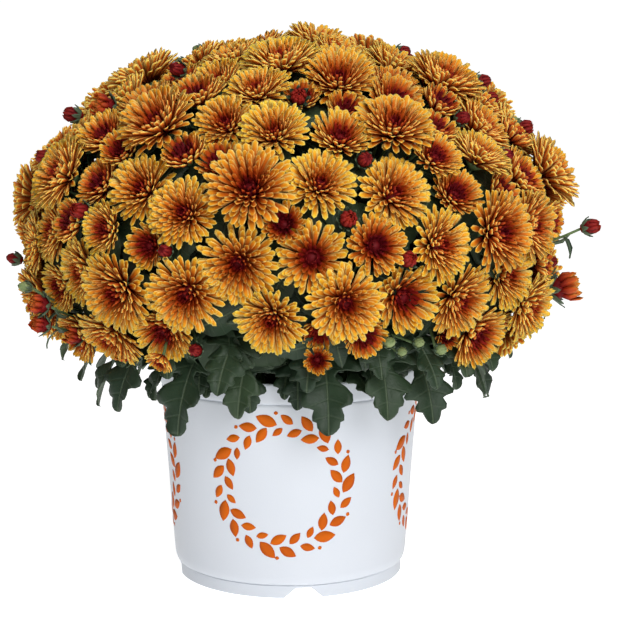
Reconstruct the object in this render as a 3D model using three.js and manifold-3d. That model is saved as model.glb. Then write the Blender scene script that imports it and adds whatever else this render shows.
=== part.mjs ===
// A pot chrysanthemum: a dome of sprays in a white plastic nursery pot filled with peat.
// Millimetres, +Z up. The origin is the centre of the pot's base, on the plane that it rests on,
// and the pot's front faces -Y. Azimuths are in degrees from the front towards +X.

import * as THREE from 'three';
import Module from 'manifold-3d';
import { mergeVertices } from 'three/addons/utils/BufferGeometryUtils.js';

const wasm = await Module();
wasm.setup();

// ---- driving dimensions ----

// pot
const POT_HEIGHT = 142;
const RIM_RADIUS = 88.2;
const BAND_HEIGHT = 128.3; // the groove under the rim band
const BAND_RADIUS = 86.7;
const WALL_FOOT_RADIUS = 78.2;
const LEDGE_RADIUS = 75;
const LEDGE_HEIGHT = 8.4;
const STEP_HEIGHT = 14; // where the wall is straight from, above the ledge and its round
const FOOT_RADIUS = 75.9;
const FLOOR_UNDER = 7.2;
const WALL = 2;
const POT_SIDES = 32;
const NOTCH_AZIMUTH = 7.2;
const NOTCH_COUNT = 4;
const NOTCH_FOOT_WIDTH = 26;
const NOTCH_TOP_WIDTH = 10;
const NOTCH_HEIGHT = 6.6;
const DRAIN_COUNT = 4;
const DRAIN_RADIUS = 4.5;
const DRAIN_CIRCLE = 54;

// soil
const SOIL_EDGE = 126; // level at the wall
const SOIL_CROWN = 129; // level in the middle
const FIT = 0.3; // clearance between pieces that rest on each other
const HOLE_DEPTH = 20;
const HOLE_FIT = 1.5;

// dome of bloom centres: an upper and a lower half ellipsoid
const DOME_RADIUS = 171;
const DOME_MIDDLE = 232;
const DOME_RISE = 124;
const DOME_DROP = 125;
const DOME_EDGE = 184; // level of the lowest bloom centres at the front and back
const DOME_SIDE_DROP = 16; // how much lower they come at the sides
const DOME_LEAN = 5; // how far the top leans towards +X

// sprays
const SPRAYS = 28;
const SPRAY_SPAN = 1.36; // how far down the dome they are spread: 1 reaches its middle, 2 its bottom
const FOLLOWERS = 6; // blooms round each spray's leading bloom
const FIRST_STEP = 30; // how far from it they start, before the blooms push each other into place
const SEED = 2718;
const BLOOM_SCALE = 1.08;
const LAYER_HEIGHTS = [-4.5, 0, 4.5]; // how far a bloom stands off the dome
const LAYER_REACH = [1.0, 0.86, 0.76]; // share of the radii that keeps blooms of two layers apart
const BLOOM_GAP = 0.8;
const FOLLOW_REACH = 0.84;
const LOW_FACING = 0.75; // share of the dome's slope that blooms under its middle follow
const LOW_LEAN = 0.18; // how far they also lean away from their leading bloom
const TILT = 0.24; // range of the tilt that each bloom has of its own, in radians
const RELAX_PASSES = 300;
const RELAX_STIFFNESS = 0.22;

// blooms: shares of the bloom's radius, heights along the way that it faces
const BLOOM_BACK = -0.22;
const TIP_RISE = 0.06;
const NOTCH_REACH = 0.78;
const NOTCH_RISE = 0.02;
const INNER_REACH = 0.6;
const INNER_RISE = 0.27;
const EYE_RISE = 0.13;
const BRIDGE_REACH = 0.38; // how far out in the leading bloom a follower's long ray ends
const LEADER_RAYS = 8;
const RAYS = [{ from: 20, count: 7 }, { from: 15.5, count: 6 }, { from: 0, count: 5 }]; // by radius
const TRIM = 0.97; // what a bloom that meets another spray's is scaled by, until it is clear
const TRIM_ROUNDS = 12;

// stems
const HOLE_SIDES = 4;
const STEM_FOOT_RADIUS = 2.6;
const STEM_TOP_RADIUS = 2;
const FOOT_MIDDLE = 7; // distance of the innermost stem's foot from the pot's axis
const FOOT_SPREAD = 56; // how much further out the outermost one's stands
const BEND_OUT = 0.25; // where a stem bends, as shares of its way out and up
const BEND_UP = 0.6;
const BEND_SWELL = 20; // how much higher the outermost stems bend
const STALK_RADIUS = 0.8;
const CALYX_SHARE = 0.26; // calyx radius over bloom radius
const CALYX_LENGTH = 6;
const HUB = 0.74; // where the stalks leave the stem, from foot 0 to top 1
const STEM_RINGS = [0, 0.36, HUB - 0.06];
const HUB_RADIUS = 2.2;
const HUB_LENGTH = 5;

// leaves and buds
const SKIRT_LEAF = 0.5; // where the large leaves of the skirt leave their stems
const INNER_LEAF = 0.6; // where a spray's small leaf leaves its stem
const INNER_LENGTH = 34;
const INNER_PETIOLE = 9;
const FIRST_LEAFY_SPRAY = 10; // sprays are numbered from the top down, and the first ones have none
const BLADE_THICKNESS = 0.8;
const BLADE_FOLD = 0.28; // how far each half of a blade is lifted, in radians
const PETIOLE_HALF_WIDTH = 0.9;
const BUD_STALK = 0.64; // where a free bud's stalk leaves its spray's stem

const COLOURS = {
  pot: 0xf2f3f5,
  soil: 0x33261c,
  green: 0x3b5236,
  bloom: 0xd2832a,
};

// ---- solids ----

function solidFrom(positions, corners) {
  const mesh = new wasm.Mesh({
    numProp: 3,
    vertProperties: Float32Array.from(positions),
    triVerts: Uint32Array.from(corners),
  });
  return new wasm.Manifold(mesh);
}

function solidOf(geometry) {
  const bare = geometry.clone();
  bare.deleteAttribute('normal');
  bare.deleteAttribute('uv');
  const merged = mergeVertices(bare, 1e-4);
  const corners = [];
  const index = merged.index.array;
  for (let i = 0; i < index.length; i += 3) {
    const [a, b, c] = index.slice(i, i + 3);
    if (a !== b && b !== c && c !== a) {
      corners.push(a, b, c);
    }
  }
  return solidFrom(merged.attributes.position.array, corners);
}

function solidFromPoints(points, corners) {
  return solidFrom(points.flatMap((point) => point.toArray()), corners);
}

function joined(solids) {
  return solids.reduce((whole, solid) => whole.add(solid));
}

function nodeMesh(name, solid, colour, roughness) {
  const { vertProperties, triVerts } = solid.getMesh();
  const geometry = new THREE.BufferGeometry();
  geometry.setAttribute('position', new THREE.BufferAttribute(vertProperties, 3));
  geometry.setIndex(new THREE.BufferAttribute(triVerts, 1));
  const material = new THREE.MeshStandardMaterial({
    color: colour,
    roughness,
    metalness: 0,
    flatShading: true,
  });
  const mesh = new THREE.Mesh(geometry, material);
  mesh.name = name;
  return mesh;
}

const radians = THREE.MathUtils.degToRad;

function polar(azimuth, radius, height) {
  const turn = radians(azimuth);
  return new THREE.Vector3(radius * Math.sin(turn), -radius * Math.cos(turn), height);
}

function lathe(profile) {
  const points = profile.map(([radius, height]) => new THREE.Vector2(radius, height));
  return new THREE.LatheGeometry(points, POT_SIDES).rotateX(Math.PI / 2);
}

// A tube through the given points, with a radius at each, closed at both ends.
function tube(path, radii, sides) {
  const points = [];
  const corners = [];
  let side = null;
  path.forEach((centre, ring) => {
    const ahead = path[Math.min(ring + 1, path.length - 1)];
    const behind = path[Math.max(ring - 1, 0)];
    const along = ahead.clone().sub(behind).normalize();
    if (side === null) {
      const spare = Math.abs(along.z) > 0.9 ? new THREE.Vector3(1, 0, 0) : new THREE.Vector3(0, 0, 1);
      side = spare.cross(along).normalize();
    }
    side = side.clone().addScaledVector(along, -side.dot(along)).normalize();
    const lift = along.clone().cross(side);
    for (let k = 0; k < sides; k += 1) {
      const turn = (k / sides) * 2 * Math.PI;
      points.push(centre.clone()
        .addScaledVector(side, radii[ring] * Math.cos(turn))
        .addScaledVector(lift, radii[ring] * Math.sin(turn)));
    }
  });
  for (let ring = 0; ring + 1 < path.length; ring += 1) {
    for (let k = 0; k < sides; k += 1) {
      const low = ring * sides + k;
      const next = ring * sides + ((k + 1) % sides);
      corners.push(low, next, next + sides, low, next + sides, low + sides);
    }
  }
  const top = (path.length - 1) * sides;
  for (let k = 1; k + 1 < sides; k += 1) {
    corners.push(0, k + 1, k, top, top + k, top + k + 1);
  }
  return solidFromPoints(points, corners);
}

// ---- pot ----

function innerRadius(height) {
  const slope = (BAND_RADIUS - WALL_FOOT_RADIUS) / (BAND_HEIGHT - LEDGE_HEIGHT);
  return WALL_FOOT_RADIUS - WALL + slope * (height - LEDGE_HEIGHT);
}

function potSolid() {
  const floorTop = FLOOR_UNDER + WALL;
  const body = solidOf(lathe([
    [0, FLOOR_UNDER],
    [FOOT_RADIUS - WALL - 0.6, FLOOR_UNDER],
    [FOOT_RADIUS - WALL, 0],
    [FOOT_RADIUS, 0],
    [LEDGE_RADIUS, LEDGE_HEIGHT],
    [WALL_FOOT_RADIUS - 1.1, LEDGE_HEIGHT + 1.6],
    [WALL_FOOT_RADIUS + 0.4, STEP_HEIGHT],
    [BAND_RADIUS, BAND_HEIGHT - 0.8],
    [BAND_RADIUS - 0.7, BAND_HEIGHT],
    [BAND_RADIUS + 0.6, BAND_HEIGHT + 0.8],
    [RIM_RADIUS, POT_HEIGHT - 1.2],
    [RIM_RADIUS - 1, POT_HEIGHT],
    [RIM_RADIUS - WALL, POT_HEIGHT],
    [innerRadius(BAND_HEIGHT), BAND_HEIGHT],
    [innerRadius(STEP_HEIGHT), STEP_HEIGHT],
    [LEDGE_RADIUS - WALL, floorTop],
    [0, floorTop],
  ]));
  const cuts = [];
  for (let k = 0; k < NOTCH_COUNT; k += 1) {
    const outline = new THREE.Shape([
      new THREE.Vector2(-NOTCH_FOOT_WIDTH / 2 - 1, -1),
      new THREE.Vector2(NOTCH_FOOT_WIDTH / 2 + 1, -1),
      new THREE.Vector2(NOTCH_TOP_WIDTH / 2, NOTCH_HEIGHT),
      new THREE.Vector2(-NOTCH_TOP_WIDTH / 2, NOTCH_HEIGHT),
    ]);
    const depth = 16;
    const notch = new THREE.ExtrudeGeometry(outline, { depth, bevelEnabled: false })
      .rotateX(Math.PI / 2)
      .translate(0, -FOOT_RADIUS + depth - 6, 0)
      .rotateZ(radians(NOTCH_AZIMUTH + (k * 360) / NOTCH_COUNT));
    cuts.push(solidOf(notch));
  }
  for (let k = 0; k < DRAIN_COUNT; k += 1) {
    const place = polar((k * 360) / DRAIN_COUNT, DRAIN_CIRCLE, FLOOR_UNDER + WALL / 2);
    const drain = new THREE.CylinderGeometry(DRAIN_RADIUS, DRAIN_RADIUS, WALL * 3, 6)
      .rotateX(Math.PI / 2)
      .translate(place.x, place.y, place.z);
    cuts.push(solidOf(drain));
  }
  return cuts.reduce((whole, cut) => whole.subtract(cut), body);
}

// ---- layout of the dome ----

// Park and Miller's generator: the same draws on every run.
function makeDraw(seed) {
  let state = seed;
  return () => {
    state = (state * 16807) % 2147483647;
    return state / 2147483647;
  };
}

function lowestLift(turn) {
  const edge = DOME_EDGE - DOME_SIDE_DROP * Math.cos(turn) * Math.cos(turn);
  return Math.asin((edge - DOME_MIDDLE) / DOME_DROP);
}

// The dome at a turn about Z and a lift: its point, its normal and the way that a bloom there faces.
function domeAt(turn, wantedLift) {
  const lift = Math.max(wantedLift, lowestLift(turn));
  const height = lift > 0 ? DOME_RISE : DOME_DROP;
  const across = DOME_RADIUS * Math.cos(lift);
  const slope = Math.atan2(Math.sin(lift) / height, Math.cos(lift) / DOME_RADIUS);
  return {
    lift,
    turn,
    slope,
    point: new THREE.Vector3(
      across * Math.cos(turn),
      across * Math.sin(turn),
      DOME_MIDDLE + height * Math.sin(lift),
    ),
  };
}

function ontoDome(point) {
  const up = point.z - DOME_MIDDLE;
  const height = up > 0 ? DOME_RISE : DOME_DROP;
  const across = Math.sqrt(point.x * point.x + point.y * point.y);
  return domeAt(Math.atan2(point.y, point.x), Math.atan2(up / height, across / DOME_RADIUS));
}

function heading(turn, slope) {
  return new THREE.Vector3(
    Math.cos(slope) * Math.cos(turn),
    Math.cos(slope) * Math.sin(turn),
    Math.sin(slope),
  );
}

function leaned(point) {
  const share = (point.z - POT_HEIGHT) / (DOME_MIDDLE + DOME_RISE - POT_HEIGHT);
  return point.clone().add(new THREE.Vector3(DOME_LEAN * share, 0, 0));
}

function bloomRadius(member, size) {
  if (member === 0) {
    return 22 + 3 * size;
  }
  if (size < 0.45) {
    return 19.5 + 7.8 * size;
  }
  if (size < 0.82) {
    return 16 + 8 * (size - 0.45);
  }
  return 12 + 14 * (size - 0.82);
}

function startBlooms() {
  const draw = makeDraw(SEED);
  const golden = Math.PI * (3 - Math.sqrt(5));
  const blooms = [];
  for (let spray = 0; spray < SPRAYS; spray += 1) {
    const climb = 1 - (SPRAY_SPAN * (spray + 0.5)) / SPRAYS;
    const lift = Math.asin(climb);
    const middle = domeAt(spray * golden, lift);
    for (let member = 0; member <= FOLLOWERS; member += 1) {
      const radius = BLOOM_SCALE * bloomRadius(member, draw());
      const swing = (member * 2 * Math.PI) / FOLLOWERS + draw();
      const step = member === 0 ? 0 : FIRST_STEP;
      const round = new THREE.Vector3(-Math.sin(middle.turn), Math.cos(middle.turn), 0);
      const upward = heading(middle.turn, middle.slope + Math.PI / 2);
      const moved = middle.point.clone()
        .addScaledVector(round, step * Math.cos(swing))
        .addScaledVector(upward, step * Math.sin(swing));
      blooms.push({
        spray,
        member,
        radius,
        layer: member === 0 ? 2 : member % 2,
        tiltAside: draw() - 0.5,
        tiltUp: draw() - 0.5,
        spin: draw(),
        place: ontoDome(moved),
      });
    }
  }
  return blooms;
}

// How far two blooms' centres are too far apart (positive) or too close (negative).
function misfit(a, b, distance) {
  const reach = a.radius + b.radius;
  if (a.spray === b.spray) {
    if (a.member === 0) {
      return distance - FOLLOW_REACH * reach;
    }
    return Math.min(distance - reach, 0);
  }
  return Math.min(distance - LAYER_REACH[Math.abs(a.layer - b.layer)] * reach - BLOOM_GAP, 0);
}

function relax(blooms) {
  for (let pass = 0; pass < RELAX_PASSES; pass += 1) {
    const moves = blooms.map(() => new THREE.Vector3());
    for (let i = 0; i < blooms.length; i += 1) {
      for (let j = i + 1; j < blooms.length; j += 1) {
        const way = blooms[j].place.point.clone().sub(blooms[i].place.point);
        const distance = way.length();
        const miss = misfit(blooms[i], blooms[j], distance);
        if (miss !== 0) {
          moves[i].addScaledVector(way, (RELAX_STIFFNESS * miss) / distance);
          moves[j].addScaledVector(way, (-RELAX_STIFFNESS * miss) / distance);
        }
      }
    }
    blooms.forEach((bloom, i) => {
      bloom.place = ontoDome(bloom.place.point.clone().add(moves[i]));
    });
  }
}

// Gives each bloom its centre, the way it faces and the way its first ray points.
function settle(blooms) {
  for (const bloom of blooms) {
    const { turn, slope, point } = bloom.place;
    const facingSlope = (slope > 0 ? slope : LOW_FACING * slope) + TILT * bloom.tiltUp;
    const facingTurn = turn + (TILT * bloom.tiltAside) / Math.max(Math.cos(slope), 0.4);
    const lifted = point.clone().addScaledVector(heading(turn, slope), LAYER_HEIGHTS[bloom.layer]);
    bloom.facing = heading(facingTurn, facingSlope);
    bloom.centre = leaned(lifted);
  }
  for (const bloom of blooms) {
    const leader = blooms[bloom.spray * (FOLLOWERS + 1)];
    const aim = bloom.member === 0
      ? new THREE.Vector3(-Math.sin(bloom.place.turn), Math.cos(bloom.place.turn), 0.1)
      : leader.centre.clone().sub(bloom.centre);
    if (bloom.member > 0 && bloom.place.slope < 0) {
      bloom.facing.addScaledVector(aim.clone().normalize(), -LOW_LEAN).normalize();
    }
    bloom.across = aim.addScaledVector(bloom.facing, -aim.dot(bloom.facing)).normalize();
    bloom.aside = bloom.facing.clone().cross(bloom.across);
  }
}

// ---- blooms ----

// Outer rays with notches between them, a raised ring of inner rays and a sunken eye.
// The first ray of a follower is longer and lies in among its leader's rays.
function bloomSolid(bloom, leader) {
  const rays = leader ? RAYS.find(({ from }) => bloom.radius > from).count : LEADER_RAYS;
  const at = (turn, reach, height) => bloom.centre.clone()
    .addScaledVector(bloom.across, bloom.radius * reach * Math.cos(turn))
    .addScaledVector(bloom.aside, bloom.radius * reach * Math.sin(turn))
    .addScaledVector(bloom.facing, bloom.radius * height);
  const points = [at(0, 0, BLOOM_BACK)];
  for (let k = 0; k < rays; k += 1) {
    const tip = (2 * Math.PI * k) / rays;
    points.push(at(tip, 1, TIP_RISE), at(tip + Math.PI / rays, NOTCH_REACH, NOTCH_RISE));
  }
  for (let k = 0; k < rays; k += 1) {
    points.push(at((2 * Math.PI * (k + 0.5)) / rays, INNER_REACH, INNER_RISE));
  }
  points.push(at(0, 0, EYE_RISE));
  if (leader) {
    const way = bloom.centre.clone().sub(leader.centre);
    way.addScaledVector(leader.facing, -way.dot(leader.facing)).normalize();
    points[1] = leader.centre.clone()
      .addScaledVector(way, BRIDGE_REACH * leader.radius)
      .addScaledVector(leader.facing, TIP_RISE * leader.radius);
  }
  const rim = 2 * rays;
  const inner = (k) => 1 + rim + (k % rays);
  const outer = (k) => 1 + (k % rim);
  const corners = [];
  for (let k = 0; k < rim; k += 1) {
    corners.push(0, outer(k + 1), outer(k));
  }
  for (let k = 0; k < rays; k += 1) {
    const [tip, notch, next] = [outer(2 * k), outer(2 * k + 1), outer(2 * k + 2)];
    corners.push(tip, notch, inner(k), notch, next, inner(k));
    corners.push(next, inner(k + 1), inner(k), inner(k), inner(k + 1), points.length - 1);
  }
  return solidFromPoints(points, corners);
}

function touching(a, b) {
  const boxA = a.boundingBox();
  const boxB = b.boundingBox();
  for (let axis = 0; axis < 3; axis += 1) {
    if (boxA.min[axis] > boxB.max[axis] || boxB.min[axis] > boxA.max[axis]) {
      return false;
    }
  }
  return a.intersect(b).volume() > 1e-4;
}

// Blooms of different sprays that still meet are made a little smaller until they are clear.
function bloomSolids(blooms) {
  const leaderOf = (bloom) => (bloom.member > 0 ? blooms[bloom.spray * (FOLLOWERS + 1)] : null);
  const make = (bloom) => bloomSolid(bloom, leaderOf(bloom));
  const solids = blooms.map(make);
  for (let round = 0; round < TRIM_ROUNDS; round += 1) {
    const shrunk = new Set();
    for (let i = 0; i < blooms.length; i += 1) {
      for (let j = i + 1; j < blooms.length; j += 1) {
        if (blooms[i].spray !== blooms[j].spray && touching(solids[i], solids[j])) {
          shrunk.add(i).add(j);
        }
      }
    }
    for (const i of shrunk) {
      blooms[i].radius *= TRIM;
      solids[i] = make(blooms[i]);
    }
    if (shrunk.size === 0) {
      break;
    }
  }
  return solids;
}

// ---- stems, leaves and buds ----

function calyxEnd(bloom) {
  return bloom.centre.clone().addScaledVector(bloom.facing, BLOOM_BACK * bloom.radius - FIT);
}

// The way of a spray's main stem, from the soil to its leading bloom, in one upright plane.
function stemWay(leader) {
  const top = calyxEnd(leader).addScaledVector(leader.facing, -CALYX_LENGTH);
  const { turn, lift } = leader.place;
  const spread = (Math.PI / 2 - lift) / (Math.PI / 2 - lowestLift(0));
  const footRadius = FOOT_MIDDLE + FOOT_SPREAD * spread;
  const foot = new THREE.Vector3(footRadius * Math.cos(turn), footRadius * Math.sin(turn), SOIL_CROWN + 1);
  const bend = new THREE.Vector3(
    foot.x + BEND_OUT * (top.x - foot.x),
    foot.y + BEND_OUT * (top.y - foot.y),
    foot.z + BEND_UP * (top.z - foot.z) + BEND_SWELL * Math.pow(spread, 3),
  );
  return new THREE.QuadraticBezierCurve3(foot, bend, top);
}

// A point on the stem's faceted axis, by its share of the way.
function onStem(way, share) {
  const k = share < STEM_RINGS[1] ? 0 : 1;
  const [low, high] = [STEM_RINGS[k], STEM_RINGS[k + 1]];
  return way.getPoint(low).lerp(way.getPoint(high), (share - low) / (high - low));
}

function ringAt(centre, along, side, radius, count, turn = 0) {
  const across = side.clone().addScaledVector(along, -side.dot(along)).normalize();
  const aside = along.clone().cross(across);
  return Array.from({ length: count }, (_, k) => {
    const angle = turn + (2 * Math.PI * k) / count;
    return centre.clone()
      .addScaledVector(across, radius * Math.cos(angle))
      .addScaledVector(aside, radius * Math.sin(angle));
  });
}

function angleOver(mean, along, side, point) {
  const way = point.clone().sub(mean);
  return Math.atan2(way.dot(along.clone().cross(side)), way.dot(side));
}

// A spray's green frame in one skin: a three-sided stem, a hub with a face for each follower, a stalk
// that grows out of each face, and a calyx at each end.
function frameSolid(way, leader, followers) {
  const points = [];
  const corners = [];
  const add = (ring) => ring.map((point) => points.push(point) - 1);
  const bridge = (low, high) => low.forEach((a, k) => {
    const next = (k + 1) % low.length;
    corners.push(a, low[next], high[next], a, high[next], high[k]);
  });
  const fan = (three, six) => three.forEach((a, k) => {
    const b = three[(k + 1) % 3];
    const [d, e, f] = [six[2 * k], six[2 * k + 1], six[(2 * k + 2) % 6]];
    corners.push(a, b, e, a, e, d, b, f, e);
  });

  const hub = way.getPoint(HUB);
  const axis = way.getTangent(HUB);
  const spare = new THREE.Vector3(-Math.sin(leader.place.turn), Math.cos(leader.place.turn), 0);
  const angles = followers.map((bloom) => ({ bloom, angle: angleOver(hub, axis, spare, bloom.centre) }));
  angles.sort((a, b) => a.angle - b.angle);
  const face = (2 * Math.PI) / FOLLOWERS;
  const turn = angles.reduce((sum, { angle }, k) => sum + angle - face * (k + 0.5), 0) / FOLLOWERS;
  const side = spare.clone().applyAxisAngle(axis, turn);

  const foot = way.getPoint(0);
  const up = new THREE.Vector3(0, 0, 1);
  const lower = [
    ringAt(foot.clone().setZ(SOIL_EDGE - HOLE_DEPTH + 1), up, side, STEM_FOOT_RADIUS, 3),
    ringAt(foot, up, side, STEM_FOOT_RADIUS, 3),
    ...STEM_RINGS.slice(1).map(
      (share) => ringAt(way.getPoint(share), way.getTangent(share), side, STEM_TOP_RADIUS, 3),
    ),
  ].map(add);
  corners.push(lower[0][0], lower[0][2], lower[0][1]);
  for (let k = 0; k + 1 < lower.length; k += 1) {
    bridge(lower[k], lower[k + 1]);
  }
  const hubLow = add(ringAt(hub, axis, side, HUB_RADIUS, FOLLOWERS));
  const hubEnd = hub.clone().addScaledVector(axis, HUB_LENGTH);
  const hubHigh = add(ringAt(hubEnd, axis, side, HUB_RADIUS, FOLLOWERS));
  fan(lower[3], hubLow);

  // The calyx is turned so that its corners follow the root's with the least twist.
  const grow = (root, bloom) => {
    const middle = root.reduce((sum, k) => sum.add(points[k]), new THREE.Vector3()).divideScalar(3);
    const end = calyxEnd(bloom);
    const stalk = end.clone().sub(middle).normalize();
    const spokes = root.map((k) => points[k].clone().sub(middle).projectOnPlane(stalk));
    const calyx = (turn) => ringAt(end, bloom.facing, spare, CALYX_SHARE * bloom.radius, 3, turn);
    const match = (turn) => calyx(turn).reduce((sum, point, k) => sum + point.sub(end).dot(spokes[k]), 0);
    const turns = Array.from({ length: 24 }, (_, k) => (2 * Math.PI * k) / 24);
    const top = add(calyx(turns.reduce((best, turn) => (match(turn) > match(best) ? turn : best))));
    bridge(root, top);
    corners.push(...top);
  };
  angles.forEach(({ bloom }, k) => {
    const next = (k + 1) % FOLLOWERS;
    corners.push(hubLow[k], hubLow[next], hubHigh[next]);
    grow([hubLow[k], hubHigh[next], hubHigh[k]], bloom);
  });
  const neck = add(ringAt(way.getPoint(1), leader.facing, side, STALK_RADIUS * 1.5, 3));
  hubHigh.forEach((_, k) => {
    if (k % 2 === 0) {
      const [a, b, c] = [hubHigh[k], hubHigh[(k + 1) % 6], hubHigh[(k + 2) % 6]];
      const [d, e] = [neck[k / 2], neck[(k / 2 + 1) % 3]];
      corners.push(a, b, d, b, e, d, b, c, e);
    }
  });
  grow(neck, leader);
  return solidFromPoints(points, corners);
}

// Half outlines of the blades, from base to tip: how far along and how far aside, over the length.
// Faces join the outline's numbered points to the rib's points and to the base and the tip.
const LARGE_BLADE = {
  half: [[0.14, 0.27], [0.32, 0.15], [0.5, 0.35], [0.66, 0.15], [0.84, 0.19]],
  rib: [0.33, 0.66],
  faces: [
    ['base', 0, 'a'], [0, 1, 'a'], ['a', 1, 'b'], [1, 3, 'b'], [1, 2, 3], ['b', 3, 4], ['b', 4, 'tip'],
  ],
};
const SMALL_BLADE = {
  half: [[0.28, 0.26], [0.46, 0.13], [0.7, 0.2]],
  rib: [0.46],
  faces: [['base', 0, 'a'], [0, 1, 'a'], ['a', 1, 2], ['a', 2, 'tip']],
};

// A blade with lobed edges and its petiole in one skin. The blade is folded a little along its rib
// and bends down along its length; the petiole runs back to its root inside a stem.
function leafSolid({ root, base, out, up, length, droopStart, droopEnd, roll }, { half, rib, faces }) {
  const side = up.clone().cross(out).normalize();
  const start = radians(droopStart);
  const turn = radians(droopEnd - droopStart);
  const tilt = radians(roll);
  const place = (along, aside) => {
    const droop = start + turn * along;
    const forward = (length / turn) * (Math.sin(droop) - Math.sin(start));
    const down = (length / turn) * (Math.cos(start) - Math.cos(droop));
    const normal = out.clone().multiplyScalar(Math.sin(droop)).addScaledVector(up, Math.cos(droop));
    const sideways = side.clone().multiplyScalar(Math.cos(tilt)).addScaledVector(normal, Math.sin(tilt));
    const crown = normal.multiplyScalar(Math.cos(tilt)).addScaledVector(side, -Math.sin(tilt));
    const point = base.clone().addScaledVector(out, forward).addScaledVector(up, -down)
      .addScaledVector(sideways, aside * length * Math.cos(BLADE_FOLD))
      .addScaledVector(crown, Math.abs(aside) * length * Math.sin(BLADE_FOLD));
    return { point, crown };
  };
  const forward = base.clone().sub(root).normalize();
  const wide = side.clone().addScaledVector(forward, -side.dot(forward)).setLength(PETIOLE_HALF_WIDTH);
  const lift = forward.cross(wide).normalize();
  const neck = PETIOLE_HALF_WIDTH / length;
  const rightHalf = [[0, neck], ...half].map(([along, aside]) => place(along, aside));
  const leftHalf = [[0, neck], ...half].map(([along, aside]) => place(along, -aside));
  const spots = [
    place(1, 0),
    ...rib.map((along) => place(along, 0)),
    { point: root.clone().add(wide), crown: lift },
    ...rightHalf,
    { point: root.clone().sub(wide), crown: lift },
    ...leftHalf,
  ];
  const count = spots.length;
  const right = 1 + rib.length;
  const left = right + 2 + half.length;
  const keysOf = (first) => ({ tip: 0, a: 1, b: 2, root: first, base: first + 1 });
  const pick = (first) => (key) => (typeof key === 'string' ? keysOf(first)[key] : first + 2 + key);
  const points = [1, -1].flatMap((face) => spots.map(
    ({ point, crown: over }) => point.clone().addScaledVector(over, (face * BLADE_THICKNESS) / 2),
  ));
  const corners = [];
  const skin = (a, b, c) => corners.push(a, c, b, a + count, b + count, c + count);
  for (const face of faces) {
    skin(...face.map(pick(right)));
    const [d, e, f] = face.map(pick(left));
    skin(d, f, e);
  }
  skin(left + 1, right + 1, 1);
  skin(left, right, right + 1);
  skin(left, right + 1, left + 1);
  const rightEdge = Array.from({ length: half.length + 2 }, (_, k) => right + k);
  const leftEdge = Array.from({ length: half.length + 2 }, (_, k) => left + k).reverse();
  const rim = [...rightEdge, 0, ...leftEdge, right];
  for (let k = 0; k + 1 < rim.length; k += 1) {
    const [a, b] = [rim[k], rim[k + 1]];
    corners.push(a, b, b + count, a, b + count, a + count);
  }
  return solidFromPoints(points, corners);
}

// The skirt over the rim: azimuth, distance from the axis, level, length, first and last droop, roll.
const SKIRT_LEAVES = [
  [-28, 99, 176, 74, 30, 86, 4],
  [-47, 106, 181, 68, 32, 82, -6],
  [-66, 99, 175, 66, 36, 80, 8],
  [-84, 107, 180, 60, 38, 74, -4],
  [-9, 106, 181, 62, 36, 84, -8],
  [12, 98, 176, 70, 32, 85, 6],
  [29, 106, 181, 66, 34, 84, -5],
  [46, 99, 175, 68, 34, 84, 8],
  [63, 107, 181, 64, 36, 78, -6],
  [81, 99, 175, 64, 38, 76, 6],
  [99, 107, 181, 64, 36, 80, -6],
  [117, 99, 176, 68, 34, 84, 6],
  [135, 107, 181, 64, 36, 80, -6],
  [153, 99, 176, 68, 34, 84, 6],
  [171, 107, 181, 64, 36, 80, -6],
  [189, 99, 176, 68, 34, 84, 6],
  [207, 107, 181, 64, 36, 80, -6],
  [225, 99, 176, 68, 34, 84, 6],
  [243, 107, 181, 64, 36, 80, -6],
  [261, 99, 176, 68, 34, 84, 6],
];

function skirtLeaf([azimuth, distance, level, length, droopStart, droopEnd, roll], way) {
  const leaf = {
    root: onStem(way, SKIRT_LEAF),
    base: polar(azimuth, distance, level),
    out: polar(azimuth, 1, 0),
    up: new THREE.Vector3(0, 0, 1),
    length,
    droopStart,
    droopEnd,
    roll,
  };
  return leafSolid(leaf, LARGE_BLADE);
}

// A small leaf under a spray's blooms, which stands off the stem between two stalks.
function innerLeaf(way, leader, side) {
  const axis = way.getTangent(INNER_LEAF);
  const across = new THREE.Vector3(-Math.sin(leader.place.turn), Math.cos(leader.place.turn), 0);
  const aside = across.applyAxisAngle(axis, side);
  const out = aside.clone().multiplyScalar(0.8).addScaledVector(axis, 0.6).normalize();
  const root = onStem(way, INNER_LEAF);
  const leaf = {
    root,
    base: root.clone().addScaledVector(out, INNER_PETIOLE),
    out,
    up: axis.clone().addScaledVector(out, -axis.dot(out)).normalize(),
    length: INNER_LENGTH,
    droopStart: 2,
    droopEnd: 40,
    roll: 0,
  };
  return leafSolid(leaf, SMALL_BLADE);
}

// Buds that stand free of the dome: azimuth, distance from the axis, level and radius.
const FREE_BUDS = [
  [66, 204, 240, 5],
  [-88, 183, 212, 4.6],
  [-93, 168, 193, 5],
  [-100, 164, 178, 8],
  [82, 180, 195, 8.5],
  [22, 160, 178, 5],
  [36, 156, 170, 5],
  [-21, 150, 172, 4.5],
  [133, 184, 204, 4.4],
  [171, 174, 196, 4.4],
  [-137, 184, 204, 4.4],
];

function budSolid(from, [azimuth, distance, level, radius]) {
  const end = polar(azimuth, distance, level);
  const way = polar(azimuth, 1, 0.25).normalize();
  const neck = end.clone().addScaledVector(way, -1.5 * radius);
  const tip = end.clone().addScaledVector(way, 1.6 * radius);
  return tube([from, neck, end, tip], [STALK_RADIUS, STALK_RADIUS, radius, 0.6], 4);
}

function nearestSpray(candidates, point) {
  const distance = (leader) => leader.centre.distanceTo(point);
  return candidates.reduce((best, leader) => (distance(leader) < distance(best) ? leader : best)).spray;
}

// ---- the plant ----

const blooms = startBlooms();
relax(blooms);
settle(blooms);
const bloomParts = bloomSolids(blooms);
const leaders = blooms.filter((bloom) => bloom.member === 0);
const ways = leaders.map(stemWay);

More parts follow.
